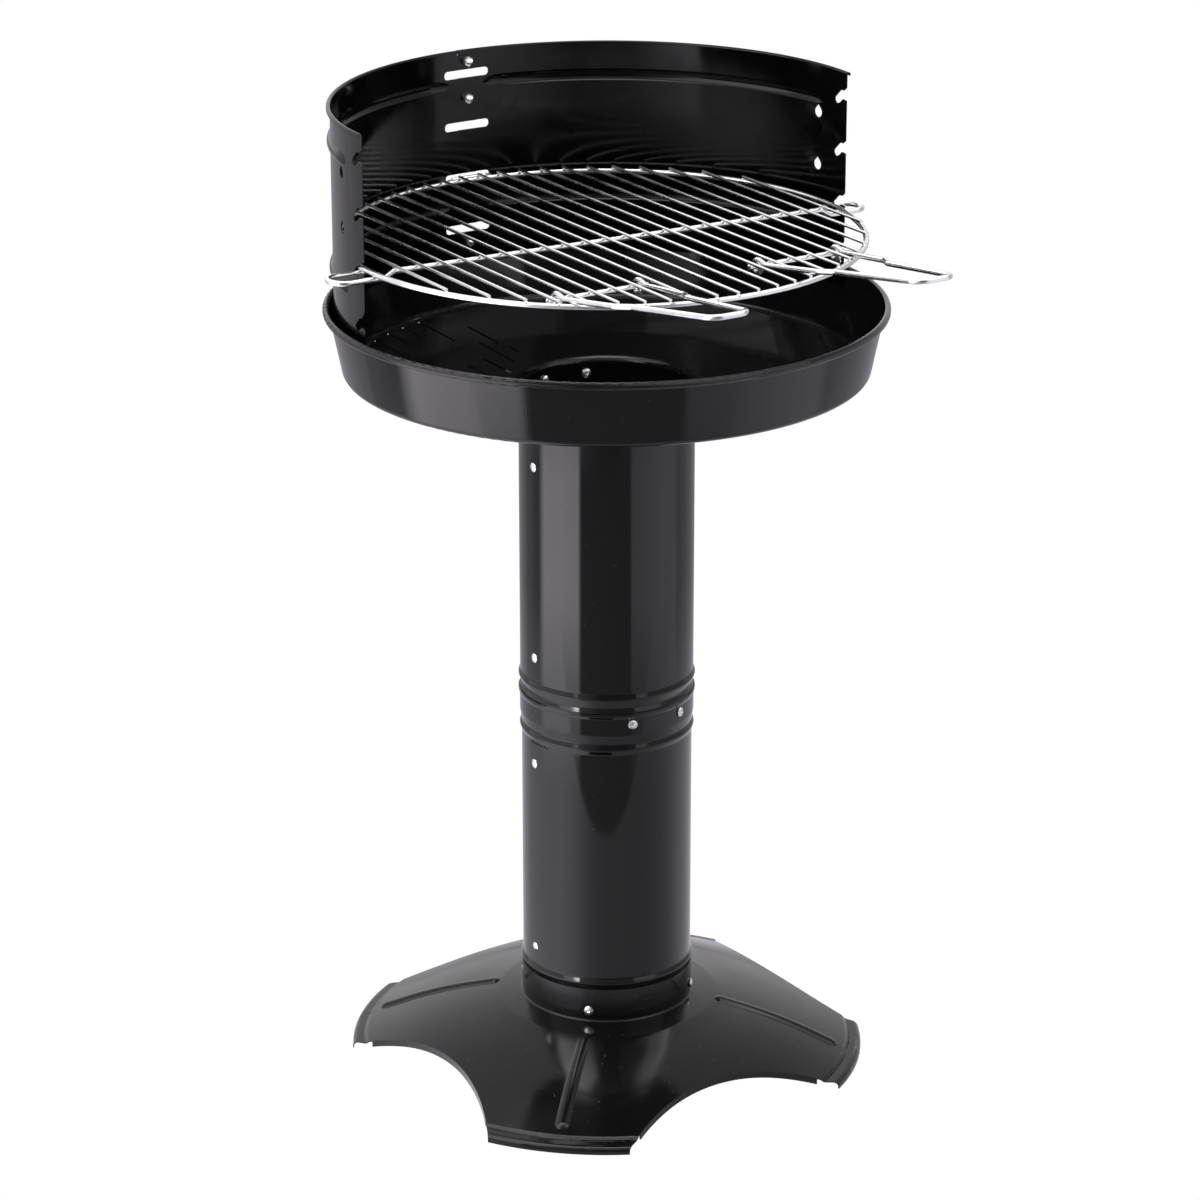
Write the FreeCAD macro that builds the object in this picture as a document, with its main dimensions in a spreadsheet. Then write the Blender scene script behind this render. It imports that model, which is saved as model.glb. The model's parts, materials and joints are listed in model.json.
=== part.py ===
import FreeCAD, Part
import Sketcher
import math
import os

# A charcoal barbecue on a column: a pressed foot, two tubes, a fire bowl, a two-piece
# windshield with notches, and a wire grate that hangs in them. Millimetres and degrees.
# The column's axis is Z, the foot stands on Z = 0, the front is -Y, and angles turn from +X.

Vector = FreeCAD.Vector
FULL_TURN = 360
QUARTER = 90

doc = FreeCAD.newDocument("column_barbecue")
sheet = doc.addObject("Spreadsheet::Sheet", "Sizes")
aliases = []


class Size:
    """A number with the formula that made it, so that what it drives follows the sheet."""

    def __init__(self, text, value):
        self.text = text
        self.value = value

    def __add__(self, other):
        return join(self, "+", other, self.value + amount(other))

    def __radd__(self, other):
        return join(other, "+", self, amount(other) + self.value)

    def __sub__(self, other):
        return join(self, "-", other, self.value - amount(other))

    def __rsub__(self, other):
        return join(other, "-", self, amount(other) - self.value)

    def __mul__(self, other):
        return join(self, "*", other, self.value * amount(other))

    def __rmul__(self, other):
        return join(other, "*", self, amount(other) * self.value)

    def __truediv__(self, other):
        return join(self, "/", other, self.value / amount(other))

    def __neg__(self):
        return Size("(0 - " + self.text + ")", -self.value)


def amount(item):
    return item.value if isinstance(item, Size) else float(item)


def formula(item):
    return item.text if isinstance(item, Size) else "(" + repr(float(item)) + ")"


def join(first, sign, second, value):
    return Size("(" + formula(first) + " " + sign + " " + formula(second) + ")", value)


def root_of(item):
    return Size("sqrt(" + formula(item) + ")", math.sqrt(amount(item)))


def cosine(item):
    return Size("cos(" + formula(item) + ")", math.cos(math.radians(amount(item))))


def sine(item):
    return Size("sin(" + formula(item) + ")", math.sin(math.radians(amount(item))))


def tangent(item):
    return Size("tan(" + formula(item) + ")", math.tan(math.radians(amount(item))))


def size(alias, value):
    """A driving dimension: a cell of the sheet and the Size that reads it."""
    aliases.append(alias)
    cell = "A%d" % len(aliases)
    sheet.set(cell, str(value))
    sheet.setAlias(cell, alias)
    return Size("Sizes." + alias, float(value))


# Foot
foot_gauge = size("foot_gauge", 1.0)
foot_radius = size("foot_radius", 237.4)
foot_step_radius = size("foot_step_radius", 223.0)
foot_step_height = size("foot_step_height", 10.6)
foot_crease_radius = size("foot_crease_radius", 226.0)
foot_crease_height = size("foot_crease_height", 7.9)
foot_lip_fall = size("foot_lip_fall", 1.1)
foot_lip_radius = size("foot_lip_radius", 5.5)
foot_dome_height = size("foot_dome_height", 54.5)
foot_shoulder_radius = size("foot_shoulder_radius", 101.0)
foot_shoulder_drop = size("foot_shoulder_drop", 3.0)
foot_slope_radius = size("foot_slope_radius", 160.0)
foot_slope_height = size("foot_slope_height", 37.5)
foot_toe_radius = size("foot_toe_radius", 214.0)
foot_toe_height = size("foot_toe_height", 14.5)
foot_bend_radius = size("foot_bend_radius", 40.0)
foot_slope_bend = size("foot_slope_bend", 400.0)
foot_crease_bend = size("foot_crease_bend", 3.0)
foot_collar_bend = size("foot_collar_bend", 2.0)
foot_lobes = 4
foot_lobe_angle = size("foot_lobe_angle", 47.2)
bay_distance = size("bay_distance", 412.6)
bay_radius = size("bay_radius", 236.3)
bay_flange = size("bay_flange", 6.3)
flange_stop = size("flange_stop", 3.0)
rib_half_width = size("rib_half_width", 6.0)
rib_height = size("rib_height", 2.3)
rib_start_radius = size("rib_start_radius", 106.0)
rib_end_radius = size("rib_end_radius", 209.0)
floor_clear = size("floor_clear", 20.0)
collar_top = size("collar_top", 86.0)
collar_fit = size("collar_fit", 0.1)

# Column tubes
tube_gauge = size("tube_gauge", 1.0)
lower_radius = size("lower_radius", 77.4)
lower_bottom = size("lower_bottom", 57.0)
foot_bead_height = size("foot_bead_height", 10.0)
foot_bead_depth = size("foot_bead_depth", 2.4)
socket_bead_level = size("socket_bead_level", 321.0)
socket_bead_depth = size("socket_bead_depth", 2.0)
socket_bottom = size("socket_bottom", 335.0)
socket_lead = size("socket_lead", 0.2)
socket_step = size("socket_step", 1.6)
socket_lip_level = size("socket_lip_level", 351.0)
socket_top = size("socket_top", 356.0)
socket_flare = size("socket_flare", 1.1)
socket_flare_rise = size("socket_flare_rise", 2.5)
socket_fit = size("socket_fit", 0.1)
upper_radius = size("upper_radius", 78.6)
groove_level = size("groove_level", 361.0)
groove_radius = size("groove_radius", 77.2)
upper_bead_level = size("upper_bead_level", 369.5)
upper_bead_depth = size("upper_bead_depth", 1.7)
bead_bend = size("bead_bend", 3.0)
spigot_flare = size("spigot_flare", 0.9)
lower_lap_angle = size("lower_lap_angle", 176.0)
upper_lap_angle = size("upper_lap_angle", 174.2)
lower_rivet_angle = size("lower_rivet_angle", 181.2)
upper_rivet_angle = size("upper_rivet_angle", 183.1)
lap_sink = size("lap_sink", 0.05)
lap_end = size("lap_end", 1.5)
lap_thickness = size("lap_thickness", 0.9)
lower_rivet_low = size("lower_rivet_low", 113.5)
lower_rivet_high = size("lower_rivet_high", 294.5)
upper_rivet_low = size("upper_rivet_low", 397.5)
upper_rivet_high = size("upper_rivet_high", 577.0)
collar_bead_gap = size("collar_bead_gap", 0.6)

# Bowl
bowl_gauge = size("bowl_gauge", 1.0)
rim_radius = size("rim_radius", 250.0)
rim_top = size("rim_top", 716.4)
rim_height = size("rim_height", 7.2)
rim_curl = size("rim_curl", 2.88)
bowl_taper = size("bowl_taper", 11.5)
bowl_corner = size("bowl_corner", 5.5)
floor_level = size("floor_level", 655.8)
floor_drop = size("floor_drop", 13.3)
neck_radius = size("neck_radius", 77.2)
neck_bend = size("neck_bend", 6.0)
neck_bottom = size("neck_bottom", 621.0)
tube_seat_gap = size("tube_seat_gap", 0.3)
vent_width = size("vent_width", 3.2)
vent_turn = size("vent_turn", 4.5)
vent_pitch = size("vent_pitch", 22.0)
vent_side = size("vent_side", 118.0)
vent_middle = size("vent_middle", 145.0)
vent_flap_gauge = size("vent_flap_gauge", 0.8)
vent_flap_depth = size("vent_flap_depth", 3.2)
vent_flap_run = size("vent_flap_run", 2.5)

# Windshield
shield_gauge = size("shield_gauge", 0.8)
shield_radius = size("shield_radius", 240.8)
shield_top = size("shield_top", 896.4)
hem_width = size("hem_width", 3.9)
hem_drop = size("hem_drop", 3.4)
hem_bend = size("hem_bend", 1.9)
shield_right_edge = size("shield_right_edge", -5.0)
shield_left_edge = size("shield_left_edge", 178.8)
seam_right_end = size("seam_right_end", 92.4)
seam_left_end = size("seam_left_end", 88.2)
seam_gap = size("seam_gap", 0.1)
shield_seat_gap = size("shield_seat_gap", 0.3)
corner_cut_width = size("corner_cut_width", 13.5)
corner_cut_top = size("corner_cut_top", 741.0)
corner_cut_bottom = size("corner_cut_bottom", 725.0)
ear_level = size("ear_level", 721.5)
ear_width = size("ear_width", 16.0)
ear_bow = size("ear_bow", 8.3)
ear_hole_inset = size("ear_hole_inset", 5.5)
ear_hole_radius = size("ear_hole_radius", 1.4)
bead_depth = size("bead_depth", 3.0)
bead_half_width = size("bead_half_width", 6.0)
bead_end_turn = size("bead_end_turn", 45.0)
bead_end_sweep = size("bead_end_sweep", 45.0)
top_bead_level = size("top_bead_level", 865.0)
low_bead_level = size("low_bead_level", 752.0)
bead_edge_margin = size("bead_edge_margin", 13.0)
bead_seam_margin = size("bead_seam_margin", 9.0)
hem_relief_drop = size("hem_relief_drop", 4.6)
hem_relief_gap = size("hem_relief_gap", 0.3)
panel_angle = size("panel_angle", 57.8)
panel_span = size("panel_span", 17.5)
panel_level = size("panel_level", 818.5)
panel_height = size("panel_height", 49.0)
panel_depth = size("panel_depth", 1.0)
level_count = 4
top_level = size("top_level", 874.5)
level_step = size("level_step", 48.37)
grate_level_index = 2
slot_angle = size("slot_angle", 90.5)
slot_width = size("slot_width", 46.9)
slot_height = size("slot_height", 7.7)
notch_mouth = size("notch_mouth", 8.0)
notch_flare = size("notch_flare", 3.3)
notch_reach = size("notch_reach", 20.0)
notch_drop = size("notch_drop", 9.0)
notch_cap_run = size("notch_cap_run", 3.5)
notch_cap_drop = size("notch_cap_drop", 4.5)
notch_lip = size("notch_lip", 6.5)
notch_knee = size("notch_knee", 9.3)
notch_round = size("notch_round", 2.8)
spit_hole_radius = size("spit_hole_radius", 5.0)
spit_hole_tail = size("spit_hole_tail", 4.0)
spit_hole_drop = size("spit_hole_drop", 22.3)
spit_hole_right = size("spit_hole_right", 5.35)
spit_hole_left = size("spit_hole_left", 167.5)

# Fasteners
screw_radius = size("screw_radius", 2.4)
screw_length = size("screw_length", 10.0)
head_radius = size("head_radius", 4.2)
head_edge = size("head_edge", 1.2)
head_height = size("head_height", 2.6)
nut_across = size("nut_across", 8.0)
nut_height = size("nut_height", 4.0)
thread_gap = size("thread_gap", 0.1)
hole_gap = size("hole_gap", 0.1)
drill_depth = size("drill_depth", 30.0)
head_gap = size("head_gap", 0.05)
rivet_radius = size("rivet_radius", 2.0)
rivet_head = size("rivet_head", 4.2)
rivet_dome = size("rivet_dome", 1.4)
rivet_bulb = size("rivet_bulb", 2.8)
rivet_tail = size("rivet_tail", 3.0)
collar_screw_level = size("collar_screw_level", 65.0)
collar_screw_angle = size("collar_screw_angle", 46.0)
joint_screw_level = size("joint_screw_level", 345.5)
joint_screw_angle = size("joint_screw_angle", 274.5)
joint_screw_spread = size("joint_screw_spread", 19.5)
neck_screw_level = size("neck_screw_level", 628.0)
neck_screw_angle = size("neck_screw_angle", 88.5)
neck_screw_spread = size("neck_screw_spread", 16.5)
seam_bolt_angle = size("seam_bolt_angle", 90.3)
seam_bolt_top = size("seam_bolt_top", 886.0)
seam_bolt_second = size("seam_bolt_second", 851.6)
seam_bolt_low = size("seam_bolt_low", 716.8)

# Grate
grate_radius = size("grate_radius", 231.0)
grate_center = size("grate_center", -5.0)
frame_wire = size("frame_wire", 2.5)
thin_wire = size("thin_wire", 1.5)
wire_count = 22
wire_pitch = size("wire_pitch", 20.1)
weld_gap = size("weld_gap", 0.1)
seat_lift = size("seat_lift", 3.33)
seat_inset = size("seat_inset", 0.96)
pull_angle = size("pull_angle", 33.5)
ear_gap = size("ear_gap", 26.0)
ear_left = size("ear_left", 271.0)
ear_right = size("ear_right", 257.0)
ear_end = size("ear_end", 226.0)
joggle_start = size("joggle_start", 212.0)
joggle_length = size("joggle_length", 9.0)
joggle_bend = size("joggle_bend", 6.0)
tongue_width = size("tongue_width", 41.0)
tongue_bend = size("tongue_bend", 4.5)
tongue_reach = size("tongue_reach", 239.2)
tongue_clear = size("tongue_clear", 0.6)

# Handles
handle_bar_setback = size("handle_bar_setback", 157.0)
handle_inner_gap = 3
handle_outer_gap = 7
handle_bar_overhang = size("handle_bar_overhang", 9.0)
handle_shift = size("handle_shift", -1.5)
eye_gap = size("eye_gap", 0.25)
eye_turn = size("eye_turn", 280.0)
eye_lead = size("eye_lead", 3.0)
eye_neck = size("eye_neck", 12.5)
eye_bend = size("eye_bend", 5.0)
leg_lift = size("leg_lift", 1.6)
handle_rise = size("handle_rise", 8.0)
handle_length = size("handle_length", 204.0)
handle_end_width = size("handle_end_width", 35.5)
shoulder_width = size("shoulder_width", 68.0)
throat_width = size("throat_width", 53.0)
shoulder_start = size("shoulder_start", 82.0)
shoulder_length = size("shoulder_length", 15.0)
shoulder_bend = size("shoulder_bend", 8.0)
handle_bend = size("handle_bend", 12.0)

doc.recompute()


def bind(item, name, value):
    item.setExpression(name, formula(value))


def place(item, at=(0, 0, 0), turn=(0, 0, 0)):
    """Puts an object at a spot, turned by yaw, pitch and roll."""
    spot = "; ".join(formula(part) for part in at)
    angles = "; ".join(formula(part) for part in turn)
    item.setExpression("Placement", "placement(vector(" + spot + "); rotation(" + angles + "))")


def point_outward(item, radius, angle, level):
    """Turns an object's own Z axis away from the column's axis and puts it on a radius."""
    place(item, (radius * cosine(angle), radius * sine(angle), level), (angle, QUARTER, 0))


def point_inward(item, radius, angle, level):
    place(item, (radius * cosine(angle), radius * sine(angle), level), (angle, -QUARTER, 0))


def make(kind, name, **sizes):
    item = doc.addObject(kind, name)
    for key, value in sizes.items():
        bind(item, key, value)
    return item


def group(name, members):
    item = doc.addObject("Part::Compound", name)
    item.Links = members
    return item


def cut(name, base, tool):
    item = doc.addObject("Part::Cut", name)
    item.Base = base
    item.Tool = tool
    return item


def fuse(name, first, second):
    item = doc.addObject("Part::Fuse", name)
    item.Base = first
    item.Tool = second
    return item


def common(name, first, second):
    item = doc.addObject("Part::Common", name)
    item.Base = first
    item.Tool = second
    return item


def copy_of(source, name):
    item = doc.addObject("App::Link", name)
    item.LinkedObject = source
    return item


def vector_of(point):
    return Vector(amount(point[0]), amount(point[1]), 0)


def new_sketch(body, name, role="XZ_Plane", turn=None):
    """A sketch on one of its body's own planes, turned about the column's axis if asked."""
    sketch = body.newObject("Sketcher::SketchObject", name)
    plane = next(item for item in body.Origin.OriginFeatures if item.Role == role)
    sketch.AttachmentSupport = [(plane, "")]
    sketch.MapMode = "FlatFace"
    if turn is not None:
        offset = "placement(vector(0; 0; 0); rotation(vector(0; 1; 0); " + formula(turn) + "))"
        sketch.setExpression("AttachmentOffset", offset)
    return sketch


def free_sketch(name):
    """A sketch on the global XY plane, outside any body."""
    return doc.addObject("Sketcher::SketchObject", name)


def dimension(sketch, value, *parts):
    """A dimension whose value is a formula."""
    kind, rest = parts[0], parts[1:]
    index = sketch.addConstraint(Sketcher.Constraint(kind, *rest, amount(value)))
    sketch.setExpression("Constraints[%d]" % index, formula(value))


def pin(sketch, edge, end, point):
    """Fixes an end of an edge by its distances from the sketch's axes."""
    dimension(sketch, point[0], "DistanceX", -1, 1, edge, end)
    dimension(sketch, point[1], "DistanceY", -1, 1, edge, end)


def add_arc(sketch, start, end, center, leftward):
    """An arc from start to end; leftward means that it turns left. Gives the edge and its ends."""
    first, last = (start, end) if leftward else (end, start)
    radius = (start - center).Length
    angles = [math.atan2(spot.y - center.y, spot.x - center.x) for spot in (first, last)]
    circle = Part.Circle(center, Vector(0, 0, 1), radius)
    edge = sketch.addGeometry(Part.ArcOfCircle(circle, angles[0], angles[1]), False)
    return (edge, 1, 2) if leftward else (edge, 2, 1)


def draw_loop(sketch, points):
    """A closed outline. A point is (x, y), or (x, y, radius, leftward) where an arc leaves it."""
    edges = []
    for number, point in enumerate(points):
        start = vector_of(point)
        end = vector_of(points[(number + 1) % len(points)])
        if len(point) == 2:
            edge = sketch.addGeometry(Part.LineSegment(start, end), False)
            edges.append((edge, 1, 2))
            continue
        chord = end - start
        side = Vector(-chord.y, chord.x, 0).normalize() * (1 if point[3] else -1)
        depth = math.sqrt(amount(point[2]) ** 2 - (chord.Length / 2) ** 2)
        edges.append(add_arc(sketch, start, end, start + chord / 2 + side * depth, point[3]))
    for number, edge in enumerate(edges):
        following = edges[(number + 1) % len(edges)]
        sketch.addConstraint(Sketcher.Constraint("Coincident", edge[0], edge[2], following[0], following[1]))
    for point, edge in zip(points, edges):
        pin(sketch, edge[0], edge[1], point)
        if len(point) > 2:
            dimension(sketch, point[2], "Radius", edge[0])


def bend_spots(points, radii, closed):
    """Where each bend of a rounded line starts and ends, with the bend's centre."""
    spots = []
    for number, here in enumerate(points):
        end_of_line = not closed and number in (0, len(points) - 1)
        if radii[number] is None or end_of_line:
            spots.append((here, here, None))
            continue
        back = (points[number - 1] - here).normalize()
        ahead = (points[(number + 1) % len(points)] - here).normalize()
        half = back.getAngle(ahead) / 2
        reach = amount(radii[number]) / math.tan(half)
        center = here + (back + ahead).normalize() * (amount(radii[number]) / math.sin(half))
        spots.append((here + back * reach, here + ahead * reach, center))
    return spots


def turns_left(before, here, after):
    return (here - before).cross(after - here).z > 0


def draw_face(sketch, points, radii, closed):
    """Straights and tangent arcs along a line of corners. Gives the straights."""
    spots = bend_spots(points, radii, closed)
    count = len(points)
    straights = []
    for number in range(count if closed else count - 1):
        start = spots[number][1]
        end = spots[(number + 1) % count][0]
        straights.append(sketch.addGeometry(Part.LineSegment(start, end), False))
    for number in range(0 if closed else 1, count if closed else count - 1):
        before, after = straights[number - 1], straights[number]
        if spots[number][2] is None:
            sketch.addConstraint(Sketcher.Constraint("Coincident", before, 2, after, 1))
            continue
        leftward = turns_left(points[number - 1], points[number], points[(number + 1) % count])
        bend, first, last = add_arc(sketch, spots[number][0], spots[number][1], spots[number][2], leftward)
        sketch.addConstraint(Sketcher.Constraint("Tangent", before, 2, bend, first))
        sketch.addConstraint(Sketcher.Constraint("Tangent", bend, last, after, 1))
        dimension(sketch, radii[number], "Radius", bend)
    return straights


def draw_guides(sketch, corners, closed):
    """Construction lines through the corners, each corner fixed by its two dimensions."""
    points = [vector_of(corner) for corner in corners]
    guides = []
    for number in range(len(points) if closed else len(points) - 1):
        line = Part.LineSegment(points[number], points[(number + 1) % len(points)])
        guides.append(sketch.addGeometry(line, True))
    for number, guide in enumerate(guides):
        pin(sketch, guide, 1, corners[number])
        if closed or number + 1 < len(guides):
            following = guides[(number + 1) % len(guides)]
            sketch.addConstraint(Sketcher.Constraint("Coincident", guide, 2, following, 1))
    if not closed:
        pin(sketch, guides[-1], 2, corners[-1])
    return points, guides


def rounded_loop(sketch, corners):
    """A closed outline of corners (x, y, bend radius or None)."""
    points, guides = draw_guides(sketch, corners, True)
    straights = draw_face(sketch, points, [corner[2] for corner in corners], True)
    for straight, guide in zip(straights, guides):
        for end in (1, 2):
            sketch.addConstraint(Sketcher.Constraint("PointOnObject", straight, end, guide))


def sheet_strip(sketch, corners, gauge, leftward):
    """The section of a bent sheet: corners (x, y, bend radius or None) lie on one face, and the
    other face is a gauge away on the left or the right of the line."""
    points, guides = draw_guides(sketch, corners, False)
    radii = [corner[2] for corner in corners]
    face = draw_face(sketch, points, radii, False)
    for number, (straight, guide) in enumerate(zip(face, guides)):
        for end, at_end in ((1, number == 0), (2, number == len(face) - 1)):
            kind = "Coincident" if at_end else "PointOnObject"
            rest = (guide, end) if at_end else (guide,)
            sketch.addConstraint(Sketcher.Constraint(kind, straight, end, *rest))

    shift = amount(gauge) * (1 if leftward else -1)
    ways = [(after - before).normalize() for before, after in zip(points, points[1:])]
    sides = [Vector(-way.y, way.x, 0) * shift for way in ways]
    others = [points[0] + sides[0]]
    other_radii = [None]
    for number in range(1, len(points) - 1):
        half = ways[number - 1].getAngle(ways[number]) / 2
        side = (sides[number - 1] + sides[number]).normalize()
        others.append(points[number] + side * (abs(shift) / math.cos(half)))
        inside = turns_left(points[number - 1], points[number], points[number + 1]) == leftward
        bend = radii[number]
        other_radii.append(None if bend is None else (bend - gauge if inside else bend + gauge))
    others.append(points[-1] + sides[-1])
    other_radii.append(None)
    back = draw_face(sketch, others, other_radii, False)
    for straight, guide in zip(back, guides):
        sketch.addConstraint(Sketcher.Constraint("Parallel", straight, guide))
        dimension(sketch, gauge, "Distance", straight, 1, guide)

    for end, number in ((1, 0), (2, -1)):
        spots = (points[number], others[number])
        cap = sketch.addGeometry(Part.LineSegment(*spots), False)
        sketch.addConstraint(Sketcher.Constraint("Coincident", cap, 1, face[number], end))
        sketch.addConstraint(Sketcher.Constraint("Coincident", cap, 2, back[number], end))
        sketch.addConstraint(Sketcher.Constraint("Perpendicular", cap, guides[number]))


def spin(body, sketch, name, angle=FULL_TURN, kind="PartDesign::Revolution"):
    """Turns a section about the column's axis, to both sides of its plane."""
    turned = body.newObject(kind, name)
    turned.Profile = sketch
    turned.ReferenceAxis = (sketch, ["V_Axis"])
    turned.Midplane = True
    bind(turned, "Angle", angle)
    return turned


def rounded_path(corners, bends):
    """Straights and tangent arcs through corners in space, with a bend radius for each."""
    spots = bend_spots(corners, bends, False)
    edges = []
    for number in range(len(corners) - 1):
        edges.append(Part.LineSegment(spots[number][1], spots[number + 1][0]).toShape())
        center = spots[number + 1][2]
        if center is not None:
            outward = (corners[number + 1] - center).normalize()
            middle = center + outward * amount(bends[number + 1])
            edges.append(Part.Arc(spots[number + 1][0], middle, spots[number + 1][1]).toShape())
    return edges


def bent_wire(name, points, bends, radius):
    """A round wire along straights joined by bends, through points (x, y, z)."""
    corners = [Vector(*[amount(part) for part in point]) for point in points]
    return sweep_wire(name, rounded_path(corners, bends), corners[1] - corners[0], radius)


def sweep_wire(name, edges, way, radius):
    """A solid wire of round section along a path that starts in the given direction."""
    path = Part.Wire(edges)
    start = path.OrderedVertexes[0].Point
    section = Part.Wire([Part.Circle(start, way, amount(radius)).toShape()])
    item = doc.addObject("Part::Feature", name)
    item.Shape = path.makePipeShell([section], True, False)
    return item


def sub_part(item, label):
    """Names an object as one of the pieces that are written out."""
    item.Label = label
    pieces.append(item)
    return item


pieces = []


# Fasteners, drawn once with their axis on Z and the face under the head at Z = 0

def make_screw():
    body = doc.addObject("PartDesign::Body", "screw")
    sketch = new_sketch(body, "screw_section")
    dome = head_height - head_edge
    dome_radius = (head_radius * head_radius + dome * dome) / (dome * 2)
    draw_loop(sketch, [
        (0, -screw_length),
        (screw_radius, -screw_length),
        (screw_radius, 0),
        (head_radius, 0),
        (head_radius, head_edge, dome_radius, True),
        (0, head_height),
    ])
    spin(body, sketch, "screw_turned")
    return body


def make_nut():
    """A plain nut whose seat is at Z = 0 and whose body is below it."""
    corner = nut_across / root_of(3)
    hexagon = make("Part::Prism", "nut_hexagon", Circumradius=corner, Height=nut_height)
    hexagon.Polygon = 6
    place(hexagon, (0, 0, -nut_height))
    bore = make("Part::Cylinder", "nut_bore", Radius=screw_radius + thread_gap, Height=nut_height * 2)
    place(bore, (0, 0, -nut_height * 1.5))
    return cut("nut", hexagon, bore)


def make_rivet(name, grip):
    """A blind rivet: a domed head, a shank and the bulb that its stem has drawn up inside."""
    body = doc.addObject("PartDesign::Body", name)
    sketch = new_sketch(body, name + "_section")
    dome_radius = (rivet_head * rivet_head + rivet_dome * rivet_dome) / (rivet_dome * 2)
    draw_loop(sketch, [
        (0, -(grip + rivet_tail)),
        (rivet_radius, -(grip + rivet_tail)),
        (rivet_bulb, -(grip + rivet_tail * 0.6)),
        (rivet_bulb, -(grip + rivet_tail * 0.2)),
        (rivet_radius, -grip),
        (rivet_radius, 0),
        (rivet_head, 0, dome_radius, True),
        (0, rivet_dome),
    ])
    spin(body, sketch, name + "_turned")
    return body


def drill(name, stations, radius, depth):
    """Round cutters that cross the wall outward at each (radius, angle, level)."""
    tools = []
    for number, (reach, angle, level) in enumerate(stations):
        tool = make("Part::Cylinder", name + "_%d" % number, Radius=radius, Height=depth)
        point_outward(tool, reach - depth / 2, angle, level)
        tools.append(tool)
    return group(name, tools)


def fasten(label, source, stations, outward=True):
    """Copies of one fastener at each (radius, angle, level), as one piece."""
    copies = []
    for number, (reach, angle, level) in enumerate(stations):
        item = copy_of(source, label + "_copy_%d" % number)
        if outward:
            point_outward(item, reach, angle, level)
        else:
            point_inward(item, reach, angle, level)
        copies.append(item)
    return sub_part(group(label + "_set", copies), label)


screw = make_screw()
nut = make_nut()
hole_radius = screw_radius + hole_gap


# Foot

collar_inner = lower_radius + collar_fit
collar_outer = collar_inner + foot_gauge


toe_slope = (foot_toe_height - foot_step_height) / (foot_step_radius - foot_toe_radius)
foot_stop_height = foot_step_height + flange_stop * toe_slope
radius_of_rib = (rib_half_width * rib_half_width + rib_height * rib_height) / (rib_height * 2)


def foot_corners():
    """The upper face of the pressed sheet, from the collar's top to the lip's lower edge."""
    return [
        (collar_outer, collar_top, None),
        (collar_outer, foot_dome_height, foot_collar_bend),
        (foot_shoulder_radius, foot_dome_height - foot_shoulder_drop, foot_bend_radius),
        (foot_slope_radius, foot_slope_height, foot_slope_bend),
        (foot_toe_radius, foot_toe_height, foot_bend_radius),
        (foot_step_radius, foot_step_height, foot_crease_bend),
        (foot_crease_radius, foot_crease_height, foot_crease_bend),
        (foot_radius, foot_crease_height - foot_lip_fall, foot_lip_radius),
        (foot_radius, 0, None),
    ]


def foot_band(name, top_lift, bottom_lift):
    """A turned band that follows the dome between two heights above its upper face."""
    body = doc.addObject("PartDesign::Body", name)
    sketch = new_sketch(body, name + "_section")
    line = [
        (collar_outer + foot_gauge, foot_dome_height, None),
        (foot_shoulder_radius, foot_dome_height - foot_shoulder_drop, foot_bend_radius),
        (foot_slope_radius, foot_slope_height, foot_slope_bend),
        (foot_toe_radius, foot_toe_height, foot_bend_radius),
        (foot_step_radius - flange_stop, foot_stop_height, None),
    ]
    upper = [(reach, level + top_lift, bend) for reach, level, bend in line]
    lower = [(reach, level + bottom_lift, bend) for reach, level, bend in reversed(line)]
    rounded_loop(sketch, upper + lower)
    spin(body, sketch, name + "_turned")
    return body


def bay_cutters(name, radius, bottom, top):
    """Upright cylinders at the four bays between the lobes."""
    tools = []
    for number in range(foot_lobes):
        angle = foot_lobe_angle + FULL_TURN / foot_lobes * (number + 0.5)
        tool = make("Part::Cylinder", name + "_%d" % number, Radius=radius, Height=top - bottom)
        place(tool, (bay_distance * cosine(angle), bay_distance * sine(angle), bottom))
        tools.append(tool)
    return group(name, tools)


def rib_tube(name, angle, radius):
    """A tube of rounded ends along a lobe, following the dome's slope from above."""
    bend = radius_of_rib - rib_height
    shoulder_height = foot_dome_height - foot_shoulder_drop
    upper_slope = (shoulder_height - foot_slope_height) / (foot_slope_radius - foot_shoulder_radius)
    lower_slope = (foot_slope_height - foot_toe_height) / (foot_toe_radius - foot_slope_radius)
    spine = [
        (rib_start_radius, shoulder_height - (rib_start_radius - foot_shoulder_radius) * upper_slope),
        (foot_slope_radius, foot_slope_height),
        (rib_end_radius, foot_toe_height + (foot_toe_radius - rib_end_radius) * lower_slope),
    ]
    points = [
        (reach * cosine(angle), reach * sine(angle), level - bend) for reach, level in spine
    ]
    tube = bent_wire(name + "_tube", points, [None, foot_slope_bend, None], radius)
    ends = []
    for number, point in ((0, points[0]), (1, points[-1])):
        ball = make("Part::Sphere", name + "_end_%d" % number, Radius=radius)
        place(ball, point)
        ends.append(ball)
    return fuse(name, tube, fuse(name + "_ends", *ends))


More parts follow.
